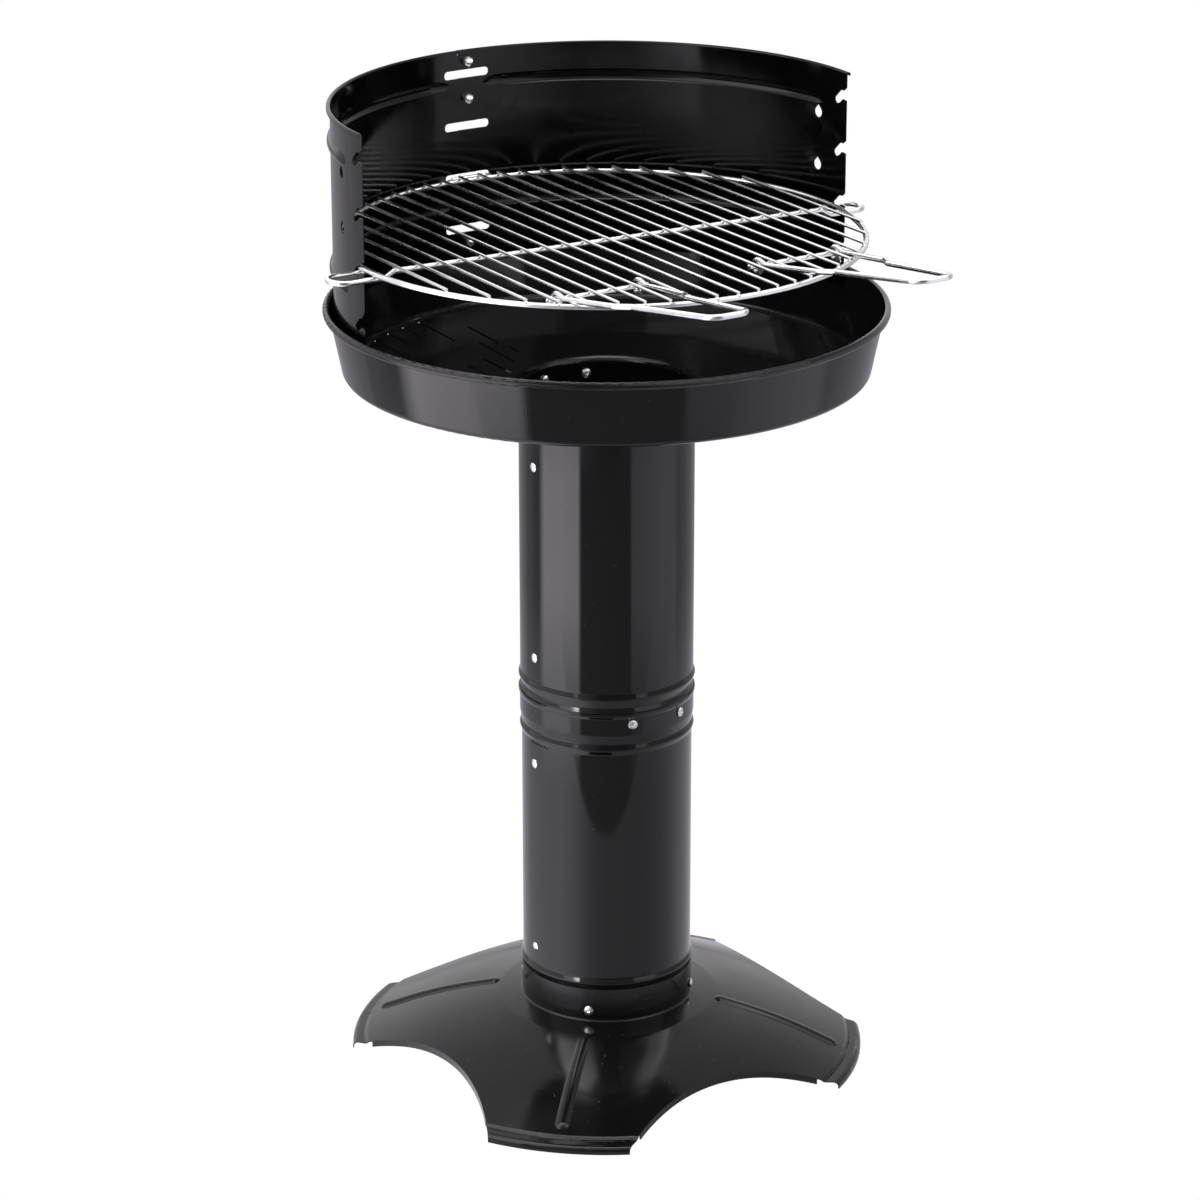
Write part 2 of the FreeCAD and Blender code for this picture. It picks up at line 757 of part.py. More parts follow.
def make_foot():
    """A domed sheet with four lobes, arched bays with turned flanges and a rib on each lobe."""
    body = doc.addObject("PartDesign::Body", "foot_sheet")
    sketch = new_sketch(body, "foot_section")
    sheet_strip(sketch, foot_corners(), foot_gauge, False)
    spin(body, sketch, "foot_turned")

    bays = bay_cutters("bays", bay_radius, -floor_clear, foot_dome_height + floor_clear)
    sheet_with_bays = cut("foot_with_bays", body, bays)

    rings = cut(
        "bay_rings",
        bay_cutters("bay_ring_outside", bay_radius + foot_gauge, -floor_clear, foot_dome_height),
        bay_cutters("bay_ring_inside", bay_radius, -floor_clear * 2, foot_dome_height + floor_clear),
    )
    flanges = common("bay_flanges", foot_band("flange_band", -foot_gauge / 2, -bay_flange), rings)
    pressed = fuse("foot_with_flanges", sheet_with_bays, flanges)

    above = foot_band("above_sheet", rib_height * 4, -foot_gauge / 2)
    for number in range(foot_lobes):
        angle = foot_lobe_angle + FULL_TURN / foot_lobes * number
        outer = rib_tube("rib_outer_%d" % number, angle, radius_of_rib)
        inner = rib_tube("rib_inner_%d" % number, angle, radius_of_rib - foot_gauge)
        skin = common("rib_skin_%d" % number, outer, above)
        raised = fuse("foot_rib_%d" % number, pressed, skin)
        pressed = cut("foot_rib_open_%d" % number, raised, inner)

    holes = drill("collar_holes", collar_stations(collar_outer), hole_radius, drill_depth)
    sub_part(cut("foot", pressed, holes), "base_foot")


def collar_stations(reach):
    return [(reach, collar_screw_angle + FULL_TURN / foot_lobes * k, collar_screw_level)
            for k in range(foot_lobes)]


def joint_stations(reach):
    angles = [joint_screw_angle - joint_screw_spread, joint_screw_angle + joint_screw_spread]
    angles += [angle - FULL_TURN / 2 for angle in angles]
    return [(reach, angle, joint_screw_level) for angle in angles]


def neck_stations(reach):
    angles = [neck_screw_angle - neck_screw_spread, neck_screw_angle + neck_screw_spread]
    angles += [angle + FULL_TURN / 2 for angle in angles]
    return [(reach, angle, neck_screw_level) for angle in angles]


def lap_sheet(name, tube, radius, angle, bottom, top):
    """The second thickness of the rolled tube's lapped seam. Its edge shows at the angle, and
    from there it runs out into the tube's round as a crescent."""
    outside = make("Part::Cylinder", name + "_outside", Radius=radius - lap_sink, Height=top - bottom)
    bind(outside, "Angle", QUARTER)
    shift = lap_thickness
    place(outside, (shift * cosine(angle), shift * sine(angle), bottom), (angle, 0, 0))
    bore = make("Part::Cylinder", name + "_bore", Radius=radius - tube_gauge / 2, Height=(top - bottom) * 2)
    place(bore, (0, 0, bottom - (top - bottom) / 2))
    return fuse(name + "_fused", tube, cut(name, outside, bore))


# Lower tube: a spigot in the collar, a bead that stands on it, and a socket at the top

foot_bead_level = collar_top + collar_bead_gap + foot_bead_height / 2
lower_seam_bottom = foot_bead_level + foot_bead_height / 2 + lap_end
lower_seam_top = socket_bead_level - foot_bead_height / 2 - lap_end
lower_rivets = [
    (lower_radius + lap_thickness, lower_rivet_angle, lower_rivet_low),
    (lower_radius + lap_thickness, lower_rivet_angle, lower_rivet_high),
]


def make_lower_column():
    body = doc.addObject("PartDesign::Body", "lower_tube")
    sketch = new_sketch(body, "lower_section")
    half = foot_bead_height / 2
    socket_radius = lower_radius + socket_step
    sheet_strip(sketch, [
        (lower_radius, lower_bottom, None),
        (lower_radius, foot_bead_level - half, bead_bend),
        (lower_radius + foot_bead_depth, foot_bead_level, bead_bend),
        (lower_radius, foot_bead_level + half, bead_bend),
        (lower_radius, socket_bead_level - half, bead_bend),
        (lower_radius + socket_bead_depth, socket_bead_level, bead_bend),
        (lower_radius + socket_lead, socket_bead_level + half, bead_bend),
        (socket_radius, socket_bottom, bead_bend),
        (socket_radius, socket_lip_level, bead_bend / 2),
        (socket_radius + socket_flare, socket_lip_level + socket_flare_rise, bead_bend / 2),
        (socket_radius + socket_flare, socket_top, None),
    ], tube_gauge, True)
    spin(body, sketch, "lower_turned")
    tube = lap_sheet("lower_lap", body, lower_radius, lower_lap_angle, lower_seam_bottom, lower_seam_top)
    holes = [
        drill("lower_collar_holes", collar_stations(lower_radius), hole_radius, drill_depth),
        drill("lower_joint_holes", joint_stations(socket_radius), hole_radius, drill_depth),
        drill("lower_rivet_holes", lower_rivets, rivet_radius + hole_gap, drill_depth),
    ]
    sub_part(cut("lower_tube_drilled", tube, group("lower_holes", holes)), "lower_column")
    grip = tube_gauge + lap_thickness
    fasten("lower_seam_rivets", make_rivet("lower_rivet", grip + head_gap), lower_rivets)


# Upper tube: a spigot in the socket, a groove and a bead above it, and a plain top in the bowl

socket_inner = lower_radius + socket_step - tube_gauge
spigot_radius = socket_inner - socket_fit
bend_center_radius = neck_radius + neck_bend - bowl_gauge
floor_neck_level = floor_level - floor_drop
under_bend = neck_bend - bowl_gauge
seat_offset = bend_center_radius - upper_radius + tube_gauge
seat_rise = root_of(under_bend * under_bend - seat_offset * seat_offset)
upper_top = floor_neck_level - neck_bend + seat_rise - tube_seat_gap
upper_seam_bottom = upper_bead_level + foot_bead_height / 2 + lap_end * 2
upper_seam_top = neck_screw_level - nut_across
upper_rivets = [
    (upper_radius + lap_thickness, upper_rivet_angle, upper_rivet_low),
    (upper_radius + lap_thickness, upper_rivet_angle, upper_rivet_high),
]


def make_upper_column():
    body = doc.addObject("PartDesign::Body", "upper_tube")
    sketch = new_sketch(body, "upper_section")
    sheet_strip(sketch, [
        (spigot_radius, socket_bottom + socket_fit * 3, None),
        (spigot_radius, socket_lip_level + spigot_flare, bead_bend / 2),
        (spigot_radius + spigot_flare, socket_lip_level + socket_flare_rise + spigot_flare, bead_bend / 2),
        (spigot_radius + spigot_flare, socket_top + spigot_flare, bead_bend / 2),
        (groove_radius, groove_level, bead_bend / 2),
        (upper_radius + upper_bead_depth, upper_bead_level, bead_bend),
        (upper_radius, upper_bead_level + foot_bead_height / 2, bead_bend),
        (upper_radius, upper_top, None),
    ], tube_gauge, True)
    spin(body, sketch, "upper_turned")
    tube = lap_sheet("upper_lap", body, upper_radius, upper_lap_angle, upper_seam_bottom, upper_seam_top)
    holes = [
        drill("upper_joint_holes", joint_stations(spigot_radius), hole_radius, drill_depth),
        drill("upper_neck_holes", neck_stations(upper_radius), hole_radius, drill_depth),
        drill("upper_rivet_holes", upper_rivets, rivet_radius + hole_gap, drill_depth),
    ]
    sub_part(cut("upper_tube_drilled", tube, group("upper_holes", holes)), "upper_column")
    grip = tube_gauge + lap_thickness
    fasten("upper_seam_rivets", make_rivet("upper_rivet", grip + head_gap), upper_rivets)


# Bowl: a curled rim, a tapered wall, a dished floor and a neck that hangs in the upper tube

rim_inset = rim_curl * (1 + tangent((QUARTER - bowl_taper) / 2))
wall_corner_radius = rim_radius - rim_inset - 0.05
wall_lean = tangent(bowl_taper)
floor_corner_radius = wall_corner_radius - (rim_top - floor_level) * wall_lean
neck_inner = neck_radius - bowl_gauge


def vent_rows():
    """Slots of the vent: (side, near end, far end) in the vent's own turned frame."""
    half = vent_pitch / 2
    side = -vent_side
    outer = [(side, -9, 52), (side + vent_pitch, 31, 70), (side + vent_pitch * 2, 40, 81),
             (side + vent_pitch * 3, 16, 78), (side + vent_pitch * 4.5, -6, 44)]
    inner = [(side + half * 0.8, -52, -24), (side + half * 3.5, -75, -44), (side + half * 5.7, -75, -35),
             (side + half * 7.6, -52, 3), (side + half * 9.3, -32, -18)]
    return outer + inner


def vent_box(name, left, width, near, far):
    """An upright box over one slot of the vent, in the vent's own turned frame."""
    box = make("Part::Box", name, Length=width, Width=far - near, Height=drill_depth)
    front = vent_middle + near
    place(box, (
        left * cosine(vent_turn) - front * sine(vent_turn),
        left * sine(vent_turn) + front * cosine(vent_turn),
        floor_level - drill_depth * 0.8,
    ), (vent_turn, 0, 0))
    return box


def floor_band(name, reach):
    """A turned band from inside the floor's sheet to the lower edge of the vent's flaps."""
    body = doc.addObject("PartDesign::Body", name)
    sketch = new_sketch(body, name + "_section")
    slope = floor_drop / (floor_corner_radius - neck_inner)
    near = neck_radius + neck_bend * 2
    near_level = floor_level - (floor_corner_radius - near) * slope
    reach_level = floor_level - (floor_corner_radius - reach) * slope
    draw_loop(sketch, [
        (near, near_level - vent_flap_depth - bowl_gauge),
        (reach, reach_level - vent_flap_depth - bowl_gauge),
        (reach, reach_level - bowl_gauge / 2),
        (near, near_level - bowl_gauge / 2),
    ])
    spin(body, sketch, name + "_turned")
    return body


def make_bowl():
    body = doc.addObject("PartDesign::Body", "bowl_sheet")
    sketch = new_sketch(body, "bowl_section")
    sheet_strip(sketch, [
        (rim_radius - rim_curl - 0.7, rim_top - rim_height, None),
        (rim_radius, rim_top - rim_height, rim_curl),
        (rim_radius, rim_top, rim_curl),
        (wall_corner_radius, rim_top, rim_curl),
        (floor_corner_radius, floor_level, bowl_corner),
        (neck_inner, floor_neck_level, neck_bend),
        (neck_inner, neck_bottom, None),
    ], bowl_gauge, True)
    spin(body, sketch, "bowl_turned")

    slots = []
    flaps = []
    for number, (side, near, far) in enumerate(vent_rows()):
        slots.append(vent_box("vent_%d" % number, side - vent_width / 2, vent_width, near, far))
        flap_side = side + vent_width / 2
        flaps.append(vent_box("flap_%d" % number, flap_side, vent_flap_gauge, near, far + vent_flap_run))
    floor_reach = floor_corner_radius - bowl_corner
    flat_floor = make("Part::Cylinder", "flat_floor", Radius=floor_reach, Height=floor_level)
    vents = common("vents", group("vent_boxes", slots), flat_floor)
    turned_down = common("vent_flaps", group("flap_boxes", flaps), floor_band("flap_band", floor_reach))
    floor_with_flaps = fuse("bowl_with_flaps", body, turned_down)
    neck_holes = drill("bowl_neck_holes", neck_stations(neck_radius), hole_radius, drill_depth)
    holes = [vents, neck_holes]
    sub_part(cut("bowl_with_holes", floor_with_flaps, group("bowl_holes", holes)), "bowl")


# Windshield: a right and a left sheet, lapped at the back, standing on the bowl's tapered wall

shield_inner = shield_radius - shield_gauge
left_shrink = shield_gauge + seam_gap
shield_bottom = rim_top - (wall_corner_radius - shield_radius - shield_seat_gap) / wall_lean
levels = [top_level - level_step * k for k in range(level_count)]


def seam_stations(reach):
    return [(reach, seam_bolt_angle, level) for level in (seam_bolt_top, seam_bolt_second, seam_bolt_low)]


bead_round = (bead_half_width * bead_half_width + bead_depth * bead_depth) / (bead_depth * 2)
bead_hollow = bead_round - shield_gauge


def bulge(body, name, radius, level, start, end):
    """A hollow bead pressed outward, open at both ends for the bead's rounded ends."""
    middle = (start + end) / 2
    center = radius + bead_depth - bead_round
    sink = radius - shield_gauge - center
    inner_half = root_of(bead_hollow * bead_hollow - sink * sink)
    sketch = new_sketch(body, name + "_outside", turn=middle)
    draw_loop(sketch, [
        (radius, level - bead_half_width, bead_round, True),
        (radius + bead_depth, level, bead_round, True),
        (radius, level + bead_half_width),
        (radius - shield_gauge / 2, level + bead_half_width),
        (radius - shield_gauge / 2, level - bead_half_width),
    ])
    spin(body, sketch, name + "_added", end - start)
    hollow = new_sketch(body, name + "_inside", turn=middle)
    draw_loop(hollow, [
        (radius - shield_gauge, level - inner_half, bead_hollow, True),
        (center + bead_hollow, level, bead_hollow, True),
        (radius - shield_gauge, level + inner_half),
        (radius - shield_gauge * 2, level + inner_half),
        (radius - shield_gauge * 2, level - inner_half),
    ])
    spin(body, hollow, name + "_hollow", end - start, "PartDesign::Groove")


def bead_ends(name, radius, start, end, thickness):
    """Parts of small rings that carry both beads on beyond their ends and dip into the sheet."""
    rings = []
    for level in (top_bead_level, low_bead_level):
        for angle, turn in ((start, start - bead_end_sweep), (end, end)):
            ring = make("Part::Torus", name + "_%d" % len(rings), Radius1=bead_end_turn, Radius2=thickness)
            bind(ring, "Angle3", bead_end_sweep)
            middle = radius + bead_depth - bead_round - bead_end_turn
            place(ring, (middle * cosine(angle), middle * sine(angle), level), (turn, 0, 0))
            rings.append(ring)
    return group(name, rings)


def round_bead_ends(name, body, radius, start, end):
    """Closes a sheet's beads with ends that taper away in its face."""
    zone = make("Part::Cylinder", name + "_zone", Radius=radius + bead_depth * 2, Height=shield_top)
    core = make("Part::Cylinder", name + "_core", Radius=radius - shield_gauge / 2, Height=shield_top * 2)
    rings = bead_ends(name + "_round", radius, start, end, bead_round)
    outside = common(name + "_outside", rings, cut(name + "_shell", zone, core))
    raised = fuse(name + "_raised", body, outside)
    return cut(name + "_opened", raised, bead_ends(name + "_hollow", radius, start, end, bead_hollow))


def shield_sheet(name, radius, top, start, end, bead_start, bead_end):
    """A curved sheet with a curled hem along its top and two beads."""
    body = doc.addObject("PartDesign::Body", name)
    sketch = new_sketch(body, name + "_section", turn=(start + end) / 2)
    inner = radius - shield_gauge
    sheet_strip(sketch, [
        (inner, shield_bottom, None),
        (inner, top, hem_bend),
        (inner + hem_width, top, hem_bend),
        (inner + hem_width, top - hem_drop, None),
    ], shield_gauge, False)
    spin(body, sketch, name + "_turned", end - start)
    bulge(body, name + "_top_bead", radius, top_bead_level, bead_start, bead_end)
    bulge(body, name + "_low_bead", radius, low_bead_level, bead_start, bead_end)
    return body


def edge_tool(name, draw, angle, level, inward):
    """A radial cutter drawn in a sheet's own surface: X runs into the sheet from its edge."""
    sketch = free_sketch(name + "_outline")
    draw(sketch)
    tool = doc.addObject("Part::Extrusion", name)
    tool.Base = sketch
    tool.DirMode = "Normal"
    tool.Solid = True
    tool.Symmetric = True
    bind(tool, "LengthFwd", drill_depth)
    spot = (shield_radius * cosine(angle), shield_radius * sine(angle), level)
    place(tool, spot, (angle + QUARTER if inward else angle - QUARTER, 0, QUARTER))
    return tool


def draw_notch(sketch):
    """A hooked notch: a mouth with a flared upper lip, a slope and a round seat for the wire."""
    lip_level = notch_mouth / 2
    reach_out = notch_lip
    rounded_loop(sketch, [
        (-reach_out, lip_level + notch_flare * 2.6, None),
        (notch_lip * 0.7, lip_level + 0.4, notch_round),
        (notch_knee, lip_level + 0.4, notch_round),
        (notch_reach, lip_level - notch_drop, notch_round),
        (notch_reach - notch_cap_run, lip_level - notch_drop - notch_cap_drop, notch_round - 0.1),
        (notch_reach - notch_drop, lip_level - notch_drop - notch_round + 0.3, notch_round),
        (notch_lip, -lip_level + 0.4, notch_round / 2),
        (0, -lip_level, None),
        (-reach_out, -lip_level - 0.3, None),
    ])


def draw_spit_hole(sketch):
    """A round hole with a short pointed tail."""
    side = spit_hole_radius * 0.8
    rise = spit_hole_radius * 0.6
    draw_loop(sketch, [
        (side, rise),
        (0, spit_hole_radius + spit_hole_tail * 0.5),
        (-side, rise, spit_hole_radius, True),
        (-side, -rise, spit_hole_radius, True),
        (side, -rise, spit_hole_radius, True),
    ])


def draw_corner(sketch):
    """The slanted cut in a sheet's lower corner, above a rounded ear."""
    clear = corner_cut_width - ear_width
    top = corner_cut_top - shield_bottom
    draw_loop(sketch, [
        (clear, top),
        (0, top),
        (corner_cut_width, corner_cut_bottom - shield_bottom),
        (corner_cut_width, ear_level - shield_bottom, ear_bow, True),
        (clear, ear_level - shield_bottom),
    ])


def draw_slot(sketch):
    """A long slot with rounded corners."""
    half = slot_width / 2
    rise = slot_height / 2
    bend = slot_height * 0.45
    rounded_loop(sketch, [
        (-half, -rise, bend),
        (half, -rise, bend),
        (half, rise, bend),
        (-half, rise, bend),
    ])


def shield_cutters(side, edge, inward, hole_angle):
    """Everything that is cut from one sheet."""
    tools = []
    for number, level in enumerate(levels):
        tag = side + "_%d" % number
        tools.append(edge_tool(tag + "_notch", draw_notch, edge, level, inward))
        tools.append(edge_tool(tag + "_slot", draw_slot, slot_angle, level, True))
    for number in range(2):
        level = levels[number] - spit_hole_drop
        tools.append(edge_tool(side + "_spit_%d" % number, draw_spit_hole, hole_angle, level, True))
    tools.append(drill(side + "_seam_holes", seam_stations(shield_radius), hole_radius, drill_depth))
    inset = ear_hole_inset / shield_radius * (FULL_TURN / 2 / math.pi) * (1 if inward else -1)
    ear_hole = [(shield_radius, edge + inset, ear_level)]
    tools.append(drill(side + "_ear_hole", ear_hole, ear_hole_radius, drill_depth))
    return group(side + "_cutters", tools)


def make_shield():
    bead_right = shield_right_edge + bead_edge_margin
    bead_left = shield_left_edge - bead_edge_margin
    seam_first = slot_angle - bead_seam_margin
    seam_last = slot_angle + bead_seam_margin
    right = shield_sheet("right_sheet", shield_radius, shield_top, shield_right_edge, seam_right_end,
                         bead_right, seam_first)
    panel = new_sketch(right, "panel_section", turn=panel_angle)
    draw_loop(panel, [
        (shield_radius - shield_gauge / 4, panel_level - panel_height / 2),
        (shield_radius + panel_depth, panel_level - panel_height / 2),
        (shield_radius + panel_depth, panel_level + panel_height / 2),
        (shield_radius - shield_gauge / 4, panel_level + panel_height / 2),
    ])
    spin(right, panel, "panel_added", panel_span)
    recess = new_sketch(right, "panel_recess_section", turn=panel_angle)
    draw_loop(recess, [
        (shield_inner - shield_gauge, panel_level - panel_height / 2 + shield_gauge),
        (shield_inner + panel_depth, panel_level - panel_height / 2 + shield_gauge),
        (shield_inner + panel_depth, panel_level + panel_height / 2 - shield_gauge),
        (shield_inner - shield_gauge, panel_level + panel_height / 2 - shield_gauge),
    ])
    spin(right, recess, "panel_recess", panel_span - 0.4, "PartDesign::Groove")
    left_radius = shield_radius - left_shrink
    left = shield_sheet("left_sheet", left_radius, shield_top, seam_left_end, shield_left_edge,
                        seam_last, bead_left)
    relief_start = seam_left_end - hem_relief_gap
    relief_end = seam_right_end + hem_relief_gap
    relief = new_sketch(left, "hem_relief_section", turn=(relief_start + relief_end) / 2)
    draw_loop(relief, [
        (left_radius - hem_width, shield_top - hem_relief_drop),
        (left_radius + hem_width, shield_top - hem_relief_drop),
        (left_radius + hem_width, shield_top + hem_relief_drop),
        (left_radius - hem_width, shield_top + hem_relief_drop),
    ])
    spin(left, relief, "hem_relief", relief_end - relief_start, "PartDesign::Groove")
    for side, body, radius, ends, edge, inward, hole in (
        ("right", right, shield_radius, (bead_right, seam_first), shield_right_edge, True, spit_hole_right),
        ("left", left, left_radius, (seam_last, bead_left), shield_left_edge, False, spit_hole_left),
    ):
        rounded = round_bead_ends(side + "_beads", body, radius, *ends)
        corner = edge_tool(side + "_corner", draw_corner, edge, shield_bottom, inward)
        trimmed = cut(side + "_trimmed", rounded, corner)
        cutters = shield_cutters(side, edge, inward, hole)
        sub_part(cut(side + "_shield", trimmed, cutters), "shield_" + side)


# Fasteners of the windshield: heads outside, nuts inside

def make_shield_fasteners():
    seam_inside = shield_inner - left_shrink
    fasten("seam_bolts", screw, seam_stations(shield_radius + head_gap))
    fasten("seam_nuts", nut, seam_stations(seam_inside - head_gap * 2))


def make_column_fasteners():
    fasten("collar_screws", screw, collar_stations(collar_outer + head_gap))
    fasten("collar_nuts", nut, collar_stations(lower_radius - tube_gauge - head_gap * 4))
    fasten("joint_screws", screw, joint_stations(lower_radius + socket_step + head_gap))
    fasten("joint_nuts", nut, joint_stations(spigot_radius - tube_gauge - head_gap * 4))
    head_seat = neck_inner - head_gap * 5
    fasten("neck_screws", screw, neck_stations(head_seat), outward=False)
    fasten("neck_nuts", nut, neck_stations(upper_radius + head_gap), outward=False)


# Grate

hook_level = levels[grate_level_index]
seat_level = hook_level + notch_mouth / 2 - notch_drop - notch_cap_drop + seat_lift
ring_level = seat_level + frame_wire * 2 + weld_gap
wire_level = ring_level + frame_wire + thin_wire + weld_gap
seat_depth = notch_reach - notch_cap_run - seat_inset
seat_left = shield_radius * sine(shield_left_edge) + seat_depth
seat_right = shield_radius * sine(shield_right_edge) + seat_depth
skew = (seat_right - seat_left) / (shield_radius * 2)


def make_ring():
    ring = make("Part::Torus", "grate_ring_wire", Radius1=grate_radius, Radius2=frame_wire)
    place(ring, (grate_center, 0, ring_level))
    sub_part(ring, "grate_ring")


def make_wires():
    """Parallel wires whose ends stand on the ring."""
    wires = []
    for number in range(wire_count):
        offset = wire_pitch * (number - (wire_count - 1) / 2)
        half = root_of(grate_radius * grate_radius - offset * offset)
        wire = make("Part::Cylinder", "grate_wire_%d" % number, Radius=thin_wire, Height=half * 2)
        place(wire, (grate_center + offset, -half, wire_level), (0, 0, -QUARTER))
        wires.append(wire)
    sub_part(group("grate_wire_set", wires), "grate_wires")


def seat_line(side, setback):
    """A point of the hanging wire's line at a given distance to the side, moved forward."""
    return (seat_left + seat_right) / 2 + side * skew - setback


def make_crossbar():
    """One wire: the crossbar, stepped down under the ring, and an ear at each end that turns
    back to the ring. The ears' rear legs hang in the notches."""
    run = []
    for way, end in ((-1, ear_left), (1, ear_right)):
        joggle_in = grate_center + (joggle_start) * way
        joggle_out = grate_center + (joggle_start + joggle_length) * way
        half = [
            (ear_end * way, seat_line(ear_end * way, 0), seat_level, None),
            (end * way, seat_line(end * way, 0), seat_level, ear_gap / 2 - 0.05),
            (end * way, seat_line(end * way, ear_gap), seat_level, ear_gap / 2 - 0.05),
            (joggle_out, seat_line(joggle_out, ear_gap), seat_level, joggle_bend),
            (joggle_in, seat_line(joggle_in, ear_gap), ring_level, joggle_bend),
        ]
        run += half if way < 0 else list(reversed(half))
    points = [corner[:3] for corner in run]
    bends = [corner[3] for corner in run]
    sub_part(bent_wire("crossbar_wire", points, bends, frame_wire), "grate_crossbar")


def make_tongue():
    """A staple on the ring whose bar lies in a rear slot."""
    half = tongue_width / 2
    center = tongue_reach * cosine(slot_angle)
    meet = frame_wire + weld_gap
    reach = grate_radius + meet
    points = []
    for way in (-1, 1):
        side = center + half * way
        offset = side - grate_center
        near = root_of(reach * reach - offset * offset) + tongue_clear
        leg = [(side, near, ring_level), (side, tongue_reach, ring_level)]
        points += leg if way < 0 else list(reversed(leg))
    bends = [None, tongue_bend, tongue_bend, None]
    sub_part(bent_wire("tongue_wire", points, bends, frame_wire), "grate_tongue")


handle_inner = wire_pitch * handle_inner_gap
handle_outer = wire_pitch * handle_outer_gap
handle_middle = (handle_inner + handle_outer) / 2
handle_half = (handle_outer - handle_inner) / 2


def make_handle_bars():
    bars = []
    for number, way in enumerate((-1, 1)):
        half = handle_half + handle_bar_overhang
        bar = make("Part::Cylinder", "handle_bar_%d" % number, Radius=frame_wire, Height=half * 2)
        side = grate_center + handle_shift + handle_middle * way - half
        place(bar, (side, -handle_bar_setback, ring_level), (0, QUARTER, 0))
        bars.append(bar)
    sub_part(group("handle_bar_set", bars), "handle_bars")


def make_handle(label, way):
    """A loop of wire whose ends curl round their bar as eyes, so that it folds over the grate."""
    center = amount(grate_center + handle_shift + handle_middle * way)
    eye = amount(frame_wire * 2 + eye_gap)
    rise = math.radians(amount(handle_rise))
    forward = Vector(0, -math.cos(rise), math.sin(rise))
    upward = Vector(0, math.sin(rise), math.cos(rise))
    hinge = Vector(center, -amount(handle_bar_setback), amount(ring_level))

    def spot(side, along, lift):
        return hinge + Vector(side, 0, 0) + forward * amount(along) + upward * amount(lift)

    def eye_spot(side, turned):
        return spot(side, -eye * math.sin(turned), eye * math.cos(turned))

    wide = amount(handle_half)
    shoulder_end = shoulder_start + shoulder_length
    half_loop = [
        (wide, 0, eye, None),
        (wide, eye_lead, eye, eye_bend),
        (wide, eye_neck, leg_lift, eye_bend),
        (amount(shoulder_width / 2), shoulder_start, leg_lift, shoulder_bend),
        (amount(throat_width / 2), shoulder_end, leg_lift, shoulder_bend),
        (amount(handle_end_width / 2), handle_length, leg_lift, handle_bend),
    ]
    left = [spot(-side, along, lift) for side, along, lift, bend in half_loop]
    right = [spot(side, along, lift) for side, along, lift, bend in reversed(half_loop)]
    bends = [bend for side, along, lift, bend in half_loop]
    turn = math.radians(amount(eye_turn))
    edges = [Part.Arc(eye_spot(-wide, turn), eye_spot(-wide, turn / 2), left[0]).toShape()]
    edges += rounded_path(left + right, bends + bends[::-1])
    edges.append(Part.Arc(right[-1], eye_spot(wide, turn / 2), eye_spot(wide, turn)).toShape())
    way_in = forward * math.cos(turn) + upward * math.sin(turn)
    sub_part(sweep_wire(label + "_wire", edges, way_in, frame_wire), label)


doc.recompute()
make_foot()
make_lower_column()
make_upper_column()
make_bowl()
make_shield()
make_shield_fasteners()
make_column_fasteners()
make_ring()
make_wires()
make_crossbar()
make_tongue()
make_handle_bars()
make_handle("handle_left", -1)
make_handle("handle_right", 1)
doc.recompute()

faults = []
for item in doc.Objects:
    if "Invalid" in item.State or "Error" in item.State:
        faults.append(item.Name + " " + str(item.State))
for piece in pieces:
    if piece.Shape.isNull() or not piece.Shape.isValid():
        faults.append(piece.Label + " has no valid shape")
if faults:
    raise RuntimeError("; ".join(faults))

os.makedirs("parts", exist_ok=True)
for piece in pieces:
    piece.Shape.exportStep("parts/" + piece.Label + ".step")
    print(piece.Label, len(piece.Shape.Solids), "solids", round(piece.Shape.Volume), "mm3")
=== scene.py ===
import json
import math

import bmesh
import bpy
from mathutils import Matrix, Vector

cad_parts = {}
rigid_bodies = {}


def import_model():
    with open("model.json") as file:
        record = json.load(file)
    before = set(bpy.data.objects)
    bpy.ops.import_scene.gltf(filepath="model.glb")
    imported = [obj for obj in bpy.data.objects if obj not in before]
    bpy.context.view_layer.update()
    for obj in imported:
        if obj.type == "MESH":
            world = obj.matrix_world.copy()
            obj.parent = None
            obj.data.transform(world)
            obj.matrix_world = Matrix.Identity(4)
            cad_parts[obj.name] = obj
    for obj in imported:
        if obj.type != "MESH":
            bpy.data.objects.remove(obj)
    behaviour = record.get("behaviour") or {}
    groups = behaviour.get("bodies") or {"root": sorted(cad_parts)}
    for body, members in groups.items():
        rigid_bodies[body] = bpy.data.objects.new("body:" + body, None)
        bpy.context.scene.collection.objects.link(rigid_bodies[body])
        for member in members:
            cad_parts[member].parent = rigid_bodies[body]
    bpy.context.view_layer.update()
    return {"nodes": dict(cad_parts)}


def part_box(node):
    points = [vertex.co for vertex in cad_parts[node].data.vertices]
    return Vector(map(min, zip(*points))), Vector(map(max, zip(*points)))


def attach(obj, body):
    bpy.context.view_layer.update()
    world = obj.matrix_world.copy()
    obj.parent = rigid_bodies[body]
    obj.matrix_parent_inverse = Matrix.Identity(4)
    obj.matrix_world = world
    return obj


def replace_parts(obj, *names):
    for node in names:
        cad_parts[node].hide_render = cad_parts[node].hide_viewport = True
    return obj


# A column charcoal barbecue in black enamel with a chromed wire grate.
# Everything is in metres, in the CAD's frame: the column's axis is Z, the front is -Y.

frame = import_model()
nodes = frame["nodes"]


def add_object(name, data):
    thing = bpy.data.objects.new(name, data)
    bpy.context.scene.collection.objects.link(thing)
    return thing


# The photograph's view, with places in its pixels, the sensor in millimetres and angles in degrees

IMAGE_SIDE = 1200
CENTER_COLUMN = 606.74
CENTER_ROW = 585.81
FOCAL_PIXELS = 4241.4
SENSOR = 36.0
AZIMUTH = -32.0
ELEVATION = 19.644
DISTANCE = 3.8235
AIM = Vector((0.0, 0.0, 0.450))


